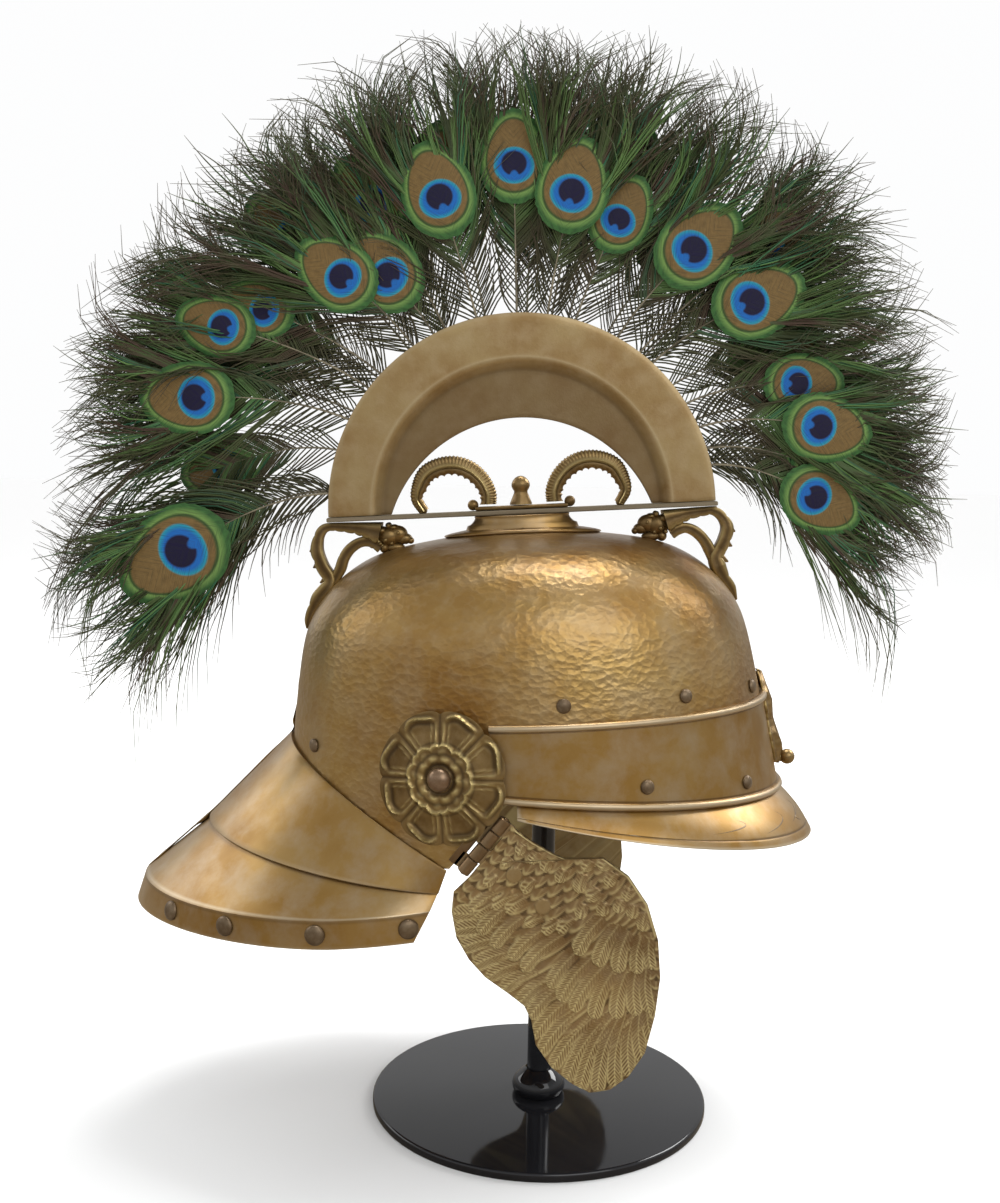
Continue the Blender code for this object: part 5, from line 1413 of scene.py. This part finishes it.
def strandRows(feather, dice):
    # the barbs of one feather as rows of points, with their starts along it and their clumps' chances
    _, angle, _, size, off, hasEye = feather
    path, far = streaming(feather, 60)
    length = far[-1]
    heading = unit(path[-1] - path[-6])
    radialEnd = unit(path[-1] * np.array((1, 0, 1)))
    drift = dice.normal(0, 0.10)
    past = np.linspace(0.004, 0.14, 35)[:, None]
    onward = unit(heading + past * 6 * (radialEnd - heading)
                  + past * drift * 4 * np.array((radialEnd[2], 0, -radialEnd[0])))
    path = np.vstack([path, path[-1] + np.cumsum(onward * 0.004, axis=0)])
    far = np.concatenate([far, length + 0.004 * np.arange(1, 36)])
    count = plume["strands"]
    # sparse near the crest, then closer and closer towards the eye
    start = np.interp(np.linspace(0, 1, count), (0, 0.09, 0.22, 0.48, 1), (0.05, 0.42, 0.60, 0.84, 1))
    way = np.where(np.arange(count) % 2, 1.0, -1.0)
    clumps = np.arange(count) // 2 // plume["clump"] * 2 + (way > 0)
    own = np.random.default_rng(int(dice.integers(1 << 30)))
    shared = np.clip(own.normal(0, 1, (clumps.max() + 1, 6)), -1.8, 1.8)[clumps]
    chance = own.random(clumps.max() + 1)[clumps]
    start = np.clip(start + dice.normal(0, 0.004, count), 0.06, 1.0)
    nearEye = clamp((start - 0.80) / 0.12)
    half = plume["eye"] * size
    wide = np.interp(start, (0.1, 0.45, 0.8), (0.030, 0.034, 0.025)) * (1 + 0.25 * shared[:, 0])
    wide = wide * (1 - nearEye) + half * np.interp(start, (0.84, 0.97, 1.0), (1.15, 0.9, 0.2)) \
        * (1 + 0.20 * shared[:, 0]) * nearEye
    wide = np.abs(wide) * dice.uniform(0.90, 1.10, count) + 0.001
    ease = wide * np.interp(start, (0.1, 0.5, 1.0), (1.45, 1.05, 0.75))
    here = follow(start * length, far, path)
    hereReach = np.linalg.norm(here[:, (0, 2)], axis=1)
    degrees = np.degrees(np.arctan2(here[:, 2], here[:, 0]))
    degrees = np.where(degrees < -90, degrees + 360, degrees)
    limit = plume["reach"] * np.interp(degrees, *zip(*plume["outline"])) * (0.955 + 0.045 * shared[:, 1]) \
        * dice.uniform(0.95, 1.03, count)
    limit = np.minimum(limit, plume["reach"])
    reachOut = np.clip((limit - hereReach) * 1.03, 0.018, plume["longest"])
    shorter = np.interp(start, (0.1, 0.42, 0.76), (0.27, 0.40, 1.0))
    reachOut = reachOut * shorter * dice.uniform(0.88, 1.06, count)
    q = np.linspace(0, 1, plume["points"])[None, :] ** 0.9 * reachOut[:, None]
    spot = start[:, None] * length + q * clamp(0.80 + 0.2 * q / 0.03)
    rows = follow(spot, far, path)
    along = unit(np.gradient(path, axis=0))
    ahead = follow(spot, far, along)
    across = xyz(-ahead[..., 2], 0 * q, ahead[..., 0])
    t = q / reachOut[:, None]
    aside = way[:, None] * wide[:, None] * (1 - np.exp(-q / ease[:, None]))
    # low barbs stand out straight, like herringbone
    herring = clamp((0.52 - start) / 0.14)[:, None]
    spread = 0.72 + 0.12 * shared[:, 0][:, None]
    aside = aside * (1 - herring) + herring * way[:, None] * q * spread * (1 - 0.2 * t)
    # tufts lean together, and loose tips curl
    aside = aside + q * t * (0.20 * shared[:, 2] + 0.10 * way)[:, None]
    loose = clamp((t - 0.55) / 0.45) ** 2
    bend = np.clip(dice.normal(0, 0.09, count), -0.2, 0.2) + 0.20 * shared[:, 3]
    curl = bend[:, None] * q * loose + 0.0022 * np.sin(t * 5 + shared[:, 3][:, None] * 3) * t
    curl = curl + 0.0018 * np.sin(q * 150 + dice.uniform(0, 6.3, count)[:, None]) * t * t
    rows = rows + across * (aside + curl)[..., None]
    # the side feathers' barbs sink under their weight
    droop = 0.020 * abs(math.cos(math.radians(angle)))
    rows[..., 2] -= droop * (q / 0.1) ** 2 * (1 + 0.3 * shared[:, 5][:, None])
    puff = 0.0065 * shared[:, 4] + dice.normal(0, 0.0016, count)
    grow = np.clip((q - 0.036 * nearEye[:, None]) / 0.07, 0, 1.3) ** 1.2
    rows[..., 1] += puff[:, None] * grow
    # loose ends stay near the plume's outline
    far = np.hypot(rows[..., 0], rows[..., 2])
    turned = np.degrees(np.arctan2(rows[..., 2], rows[..., 0]))
    turned = np.where(turned < -90, turned + 360, turned)
    edge = plume["reach"] * np.interp(turned, *zip(*plume["outline"]))
    pulled = np.where(far > edge, (edge + 0.35 * (far - edge)) / np.maximum(far, 1e-6), 1)
    rows[..., (0, 2)] *= pulled[..., None]
    if hasEye:
        # the feather's own barbs pass behind its eye
        rows[..., 1] -= np.sign(off) * 0.0030 * clamp(q / 0.010)
        fringe = eyeFringe(feather, path[59], along[59], dice)
        rows = np.concatenate([rows, fringe])
        start = np.concatenate([start, np.full(len(fringe), 1.0)])
        chance = np.concatenate([chance, dice.uniform(0.0, 0.78, len(fringe))])
    return rows, start, chance


def eyeFringe(feather, centre, heading, dice):
    # fine barbs that leave the eye's rim and sweep outward
    size, off = feather[3], feather[4]
    half = plume["eye"] * size
    count = plume["fringe"]
    turn = np.linspace(-2.5, 2.5, count) + dice.normal(0, 0.03, count)
    ahead = unit(heading * np.array((1, 0, 1)))
    side = np.array((-ahead[2], 0, ahead[0]))
    q = np.linspace(0, 1, plume["points"])[None, :] * dice.uniform(0.022, 0.050, count)[:, None]
    out = half * 0.97 * np.sin(turn)[:, None] * np.clip(1 + 0.35 * q / 0.02, 1, 1.6)
    up = half * (0.06 + 1.27 * np.cos(turn))[:, None] + q
    rows = centre + side * out[..., None] + ahead * up[..., None]
    rows = rows + side * (q * q * dice.normal(0, 4.0, count)[:, None])[..., None]
    rows[..., 1] += np.sign(off) * (-0.0022 - 0.04 * q) + dice.normal(0, 0.06, count)[:, None] * q
    return rows


def strandMesh(name, rows):
    # every barb as a fine tapering tube in one curve, then one mesh
    curve = bpy.data.curves.new(name, "CURVE")
    curve.dimensions = "3D"
    curve.bevel_depth = plume["strandRadius"]
    curve.bevel_resolution = 0
    points = rows.shape[1]
    taper = np.interp(np.linspace(0, 1, points), (0, 0.15, 0.6, 1.0), (0.75, 1.0, 0.85, 0.22))
    for row in rows:
        spline = curve.splines.new("POLY")
        spline.points.add(points - 1)
        spline.points.foreach_set("co", np.hstack([row, np.ones((points, 1))]).ravel())
        spline.points.foreach_set("radius", taper)
    guide = bpy.data.objects.new(name, curve)
    bpy.context.scene.collection.objects.link(guide)
    mesh = bpy.data.meshes.new_from_object(guide.evaluated_get(bpy.context.evaluated_depsgraph_get()))
    bpy.data.objects.remove(guide)
    bpy.data.curves.remove(curve)
    return mesh


def featherPiece(name, mesh, material, nodes):
    mesh.transform(crestPlace)
    mesh.shade_smooth()
    placePiece(name, mesh, material, nodes)


def barbMaterial():
    # olive, green and brown barbs with brown tips; strand = (share along, chance, start share)
    material, tree, shader = newMaterial("featherBarbs")
    along, chance, start = ownValues(tree, "strand")[1]
    tones = addNode(tree, "ValToRGB", {"Fac": chance})
    stops = tones.color_ramp.elements
    stops[0].position, stops[0].color = 0.0, (0.022, 0.030, 0.010, 1)
    stops[1].position, stops[1].color = 1.0, (0.060, 0.036, 0.024, 1)
    for place, tone in ((0.30, (0.044, 0.056, 0.018)), (0.48, (0.060, 0.100, 0.028)),
                        (0.62, (0.090, 0.165, 0.045)), (0.72, (0.018, 0.095, 0.050)),
                        (0.80, (0.050, 0.044, 0.020))):
        stops.new(place).color = (*tone, 1)
    sheen = ranged(tree, noise(tree, objectPlace(tree), 48.0, 4.0)["Fac"], 0.50, 0.68)
    colour = tones.outputs["Color"]
    for mask, share, tone in ((sheen, 0.32, (0.060, 0.150, 0.045)),
                              (ranged(tree, start, 0.62, 0.38), 0.85, (0.050, 0.042, 0.022)),
                              (ranged(tree, along, 0.55, 0.95), 0.80, (0.060, 0.042, 0.026))):
        colour = colourMix(tree, scaled(tree, mask, share), colour, tone)
    tree.links.new(colour, shader.inputs["Base Color"])
    tree.links.new(scaled(tree, chance, 0.20, 0.38), shader.inputs["Roughness"])
    shader.inputs["Specular IOR Level"].default_value = 0.25
    return material


def eyeMaterial():
    # rings of colour worked out from each eye's own place: x across, y outward, in half lengths
    material, tree, shader = newMaterial("featherEyes")
    place, (x, y, _) = ownValues(tree, "eyePlace")

    def oval(centre, half, tall, flare=0.0):
        # distance from an oval's centre in its own radii
        moved = maths(tree, "SUBTRACT", y, centre)
        nearX = maths(tree, "DIVIDE", x, scaled(tree, moved, -flare, half))
        flat = addNode(tree, "CombineXYZ", {0: nearX, 1: scaled(tree, moved, 1 / tall)}).outputs[0]
        return vectors(tree, "LENGTH", flat)["Value"]

    def mask(distance, edge, soft):
        return ranged(tree, distance, edge + soft, edge - soft)

    # barbs leave the shaft slantwise on both sides
    folded = maths(tree, "ABSOLUTE", x)
    slant = maths(tree, "SUBTRACT", y, scaled(tree, folded, 1.1))
    slanted = addNode(tree, "CombineXYZ",
                      {0: scaled(tree, slant, 34.0), 1: scaled(tree, folded, 2.5)}).outputs[0]
    streaks = noise(tree, slanted, 1.0, 3.0)["Fac"]
    soft = noise(tree, vectors(tree, "MULTIPLY", place, (5.0, 5.0, 1.0))[0], 1.6, 4.0)["Fac"]
    body, disc = oval(0.08, 0.70, 0.93, 0.12), oval(-0.20, 0.56, 0.49, 0.04)
    heart, notch = oval(-0.15, 0.35, 0.33), oval(-0.54, 0.13, 0.20)
    bronze = colourMix(tree, soft, (0.092, 0.052, 0.014), (0.165, 0.104, 0.034))
    pupil = maths(tree, "SUBTRACT", mask(heart, 1.0, 0.07), mask(notch, 1.0, 0.15), clamped=True)
    gloom = scaled(tree, ranged(tree, streaks, 0.50, 0.66), 0.45)
    colour = colourMix(tree, soft, (0.012, 0.045, 0.012), (0.045, 0.130, 0.030))
    for share, tone in ((mask(body, 1.17, 0.10), (0.150, 0.250, 0.060)),
                        (mask(body, 1.10, 0.025), (0.030, 0.060, 0.014)),
                        (mask(body, 1.03, 0.03), bronze), (mask(disc, 1.0, 0.04), (0.010, 0.200, 0.260)),
                        (mask(disc, 0.87, 0.10), (0.004, 0.088, 0.310)), (pupil, (0.007, 0.005, 0.028)),
                        (gloom, (0.014, 0.016, 0.010))):
        colour = colourMix(tree, share, colour, tone)
    tree.links.new(colour, shader.inputs["Base Color"])
    shader.inputs["Roughness"].default_value = 0.5
    shader.inputs["Specular IOR Level"].default_value = 0.2
    bump = addNode(tree, "Bump", {"Height": streaks, "Strength": 0.5, "Distance": 0.0005})
    tree.links.new(bump.outputs["Normal"], shader.inputs["Normal"])
    return material


def quillMaterial():
    material, tree, shader = newMaterial("featherQuills")
    tarnish = addGroup(tree, patina, **{"Scale": 60.0, "Grain Scale": 900.0})
    tree.links.new(colourMix(tree, tarnish["Patches"], (0.075, 0.060, 0.034), (0.20, 0.17, 0.11)),
                   shader.inputs["Base Color"])
    shader.inputs["Roughness"].default_value = 0.45
    return material


def eyeSheet(feather, dice):
    # a fringed oval leaf facing sideways, slightly cupped
    root, angle, reach, size, off, _ = feather
    path = featherPath(root, angle, reach, off, 60)
    ahead = unit((path[-1] - path[-12]) * np.array((1, 0, 1)))
    aside = np.array((-ahead[2], 0, ahead[0]))
    half = plume["eye"] * size
    fringe = dice.uniform(0.98, 1.02, 65)
    fringe[-1] = fringe[0]

    def planar(u, v):
        edge = 1 + (np.interp(u * 64, np.arange(65), fringe) - 1) * v**8
        turn = u * math.tau
        y = np.cos(turn) * v * edge * 1.28
        x = np.sin(turn) * v * edge * 0.96 * (1 - 0.10 * np.cos(turn))
        return x, y + 0.06

    def form(u, v):
        x, y = planar(u, v)
        sink = (0.0022 * v**2 + 0.0035 * clamp(v - 0.7)) * size
        return path[-1] + aside * (x * half)[:, None] + ahead * (y * half)[:, None] \
            + np.array((0, 1.0, 0)) * (np.sign(off) * (0.0014 - 0.8 * sink))[:, None]

    bm = formedGrid(64, 10, form)
    places = []
    for vert in bm.verts:
        local = (np.array(vert.co) - path[-1]) / half
        places.append((float(local @ aside), float(local @ ahead), 0.0))
    return bm, places


def rachis(feather):
    root, angle, reach, _, off, _ = feather
    path = featherPath(root, angle, reach, off, 24)
    t = np.linspace(0, 1, 24)

    def form(u, v):
        place = follow(u, t, path)
        along = unit(np.gradient(path, axis=0))
        side = xyz(np.interp(u, t, -along[:, 2]), 0 * u, np.interp(u, t, along[:, 0]))
        radius = (0.00075 - 0.00050 * u)[:, None]
        return place + side * radius * np.cos(v * math.tau)[:, None] \
            + np.array((0, 1.0, 0)) * radius * np.sin(v * math.tau)[:, None]

    return closeEnds(formedGrid(23, 6, form))


def makePlume():
    barbs, eyes, quills = barbMaterial(), eyeMaterial(), quillMaterial()
    feathers = featherPlan()
    dice = np.random.default_rng(plume["seed"] + 1)
    sections = plume["sections"]
    for section in range(sections):
        # the roots from 3 to 177 degrees, the outer ones with what lies past them
        low, high = (3 + 174 * number / sections for number in (section, section + 1))
        own = [f for f in feathers if (low <= f[0] < high) or (section == 0 and f[0] < low)
               or (section == sections - 1 and f[0] >= high)]
        rows, shares, chances = [np.concatenate(part)
                                 for part in zip(*[strandRows(feather, dice) for feather in own])]
        mesh = strandMesh(f"plumeBarbs{section + 1}", rows)
        corners = len(mesh.vertices) // len(rows)
        along = np.tile(np.repeat(np.linspace(0, 1, plume["points"]), corners // plume["points"]), len(rows))
        chance = np.repeat(clamp(chances + dice.normal(0, 0.07, len(rows))), corners)
        strand = mesh.attributes.new("strand", "FLOAT_VECTOR", "POINT")
        strand.data.foreach_set("vector", xyz(along, chance, np.repeat(shares, corners)).ravel())
        featherPiece(f"plumeBarbs{section + 1}", mesh, barbs, [f"plume_{section + 1}"])
        whole = merged([rachis(feather) for feather in own])
        addPiece(f"plumeQuills{section + 1}", whole, quills, [], frameOf=crestPlace)
        made = [eyeSheet(feather, dice) for feather in own if feather[5]]
        places = [place for _, part in made for place in part]
        whole = merged([bm for bm, _ in made])
        mesh = bpy.data.meshes.new(f"plumeEyes{section + 1}")
        whole.to_mesh(mesh)
        whole.free()
        spot = mesh.attributes.new("eyePlace", "FLOAT_VECTOR", "POINT")
        spot.data.foreach_set("vector", np.array(places).ravel())
        featherPiece(f"plumeEyes{section + 1}", mesh, eyes, [])
        print("plume section", section + 1, "feathers", len(own), "barbs", len(rows))

    def form(u, v):
        # the felt strip in the channel that holds the quills
        angle = math.radians(2) + math.radians(176) * u
        turn = v * math.tau
        reach = crest["radius"] - 0.0115 + 0.009 * np.clip(1.3 * np.cos(turn), -1, 1)
        y = 0.0064 * np.clip(1.3 * np.sin(turn), -1, 1)
        return xyz(reach * np.cos(angle), y, reach * np.sin(angle))

    addPiece("plumeStrip", closeEnds(formedGrid(96, 16, form)), quills, [],
             frameOf=crestPlace)


makePlume()
print("plume made")

# the frame's own pieces that stay as they are
for name, material in (("crest_bar", barBrass), ("stand_pad", blackEnamel)):
    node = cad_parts[name]
    node.data.materials.clear()
    node.data.materials.append(material)


# Stage, light and camera

def floorMaterial():
    # painted shade: the floor is coloured darker round the stand to deepen its shadow; the metal mirrors a
    # painted dark brown floor
    material, tree, shader = newMaterial("paleFloor")
    far = vectors(tree, "LENGTH", objectPlace(tree))["Value"]
    pale = colourMix(tree, ranged(tree, far, 0.35, 1.7), (0.78, 0.785, 0.785), (0.965, 0.965, 0.965))
    glossy = addNode(tree, "LightPath").outputs["Is Glossy Ray"]
    # painted reflection: glossy rays see dark brown in place of the floor
    tree.links.new(colourMix(tree, glossy, pale, (0.20, 0.165, 0.12)), shader.inputs["Base Color"])
    shader.inputs["Roughness"].default_value = 0.6
    shader.inputs["Specular IOR Level"].default_value = 0.1
    return material


def makeStage():
    bm = bmesh.new()
    bmesh.ops.create_circle(bm, cap_ends=True, segments=96, radius=40.0)
    mesh = bpy.data.meshes.new("floor")
    bm.to_mesh(mesh)
    bm.free()
    mesh.materials.append(floorMaterial())
    floor = bpy.data.objects.new("floor", mesh)
    bpy.context.scene.collection.objects.link(floor)


def addLight(name, place, target, size, power, colour=(1, 1, 1)):
    data = bpy.data.lights.new(name, "AREA")
    data.shape = "RECTANGLE"
    data.size, data.size_y = size
    data.energy = power
    data.color = colour
    lamp = bpy.data.objects.new(name, data)
    lamp.location = place
    lamp.rotation_euler = (Vector(target) - Vector(place)).to_track_quat("-Z", "Y").to_euler()
    bpy.context.scene.collection.objects.link(lamp)


def makeWorld():
    # plain white to the eye; what the metal mirrors darkens towards the floor and the back of the room
    world = bpy.data.worlds.new("paleRoom")
    bpy.context.scene.world = world
    world.use_nodes = True
    tree = world.node_tree
    background = tree.nodes["Background"]
    way = addNode(tree, "SeparateXYZ", {0: addNode(tree, "TexCoord").outputs["Generated"]})
    ramp = addNode(tree, "ValToRGB", {"Fac": scaled(tree, way.outputs[2], 0.5, 0.5)})
    stops = ramp.color_ramp.elements
    stops[0].position, stops[0].color = 0.30, (0.24, 0.20, 0.15, 1)
    stops[1].position, stops[1].color = 1.0, (0.42, 0.42, 0.42, 1)
    for place, level in ((0.50, 0.38), (0.58, 0.60), (0.70, 0.72), (0.82, 0.50)):
        stop = stops.new(place)
        stop.color = (level, level, level, 1)
    path = addNode(tree, "LightPath").outputs
    seen = colourMix(tree, path["Is Camera Ray"], (1.07, 1.07, 1.07), (0.985, 0.987, 0.990))
    tree.links.new(colourMix(tree, path["Is Glossy Ray"], seen, ramp.outputs["Color"]),
                   background.inputs["Color"])
    background.inputs["Strength"].default_value = 1.0


camera = {"focal": 1350.0, "place": (-0.0284, -0.789, 0.3775), "pitch": math.radians(5.43),
          "roll": math.radians(1.0)}


def makeCamera():
    data = bpy.data.cameras.new("camera")
    data.sensor_fit = "HORIZONTAL"
    data.sensor_width = 36.0
    data.lens = camera["focal"] / 1000 * 36.0
    data.clip_start = 0.05
    view = bpy.data.objects.new("camera", data)
    forward = Vector((0, math.cos(camera["pitch"]), -math.sin(camera["pitch"])))
    right = Vector((1, 0, 0))
    up = right.cross(forward)
    tiltedRight = right * math.cos(camera["roll"]) + up * math.sin(camera["roll"])
    tiltedUp = tiltedRight.cross(forward)
    turn = Matrix((tiltedRight, tiltedUp, -forward)).transposed().to_4x4()
    view.matrix_world = Matrix.Translation(camera["place"]) @ turn
    bpy.context.scene.collection.objects.link(view)
    bpy.context.scene.camera = view


bpy.context.scene.view_settings.view_transform = "Standard"
makeStage()
makeWorld()
addLight("rightLight", (1.4, 0.7, 1.5), (0, 0, 0.3), (1.0, 0.9), 28)
addLight("leftLight", (-1.5, 0.6, 1.15), (0, 0, 0.3), (1.1, 1.0), 7)
addLight("topLight", (0.15, 0.30, 1.9), (0, 0, 0.3), (1.0, 0.6), 24)
addLight("frontLight", (0.9, -1.7, 1.5), (0, 0, 0.3), (1.6, 1.4), 12)
makeCamera()
print("stage made")
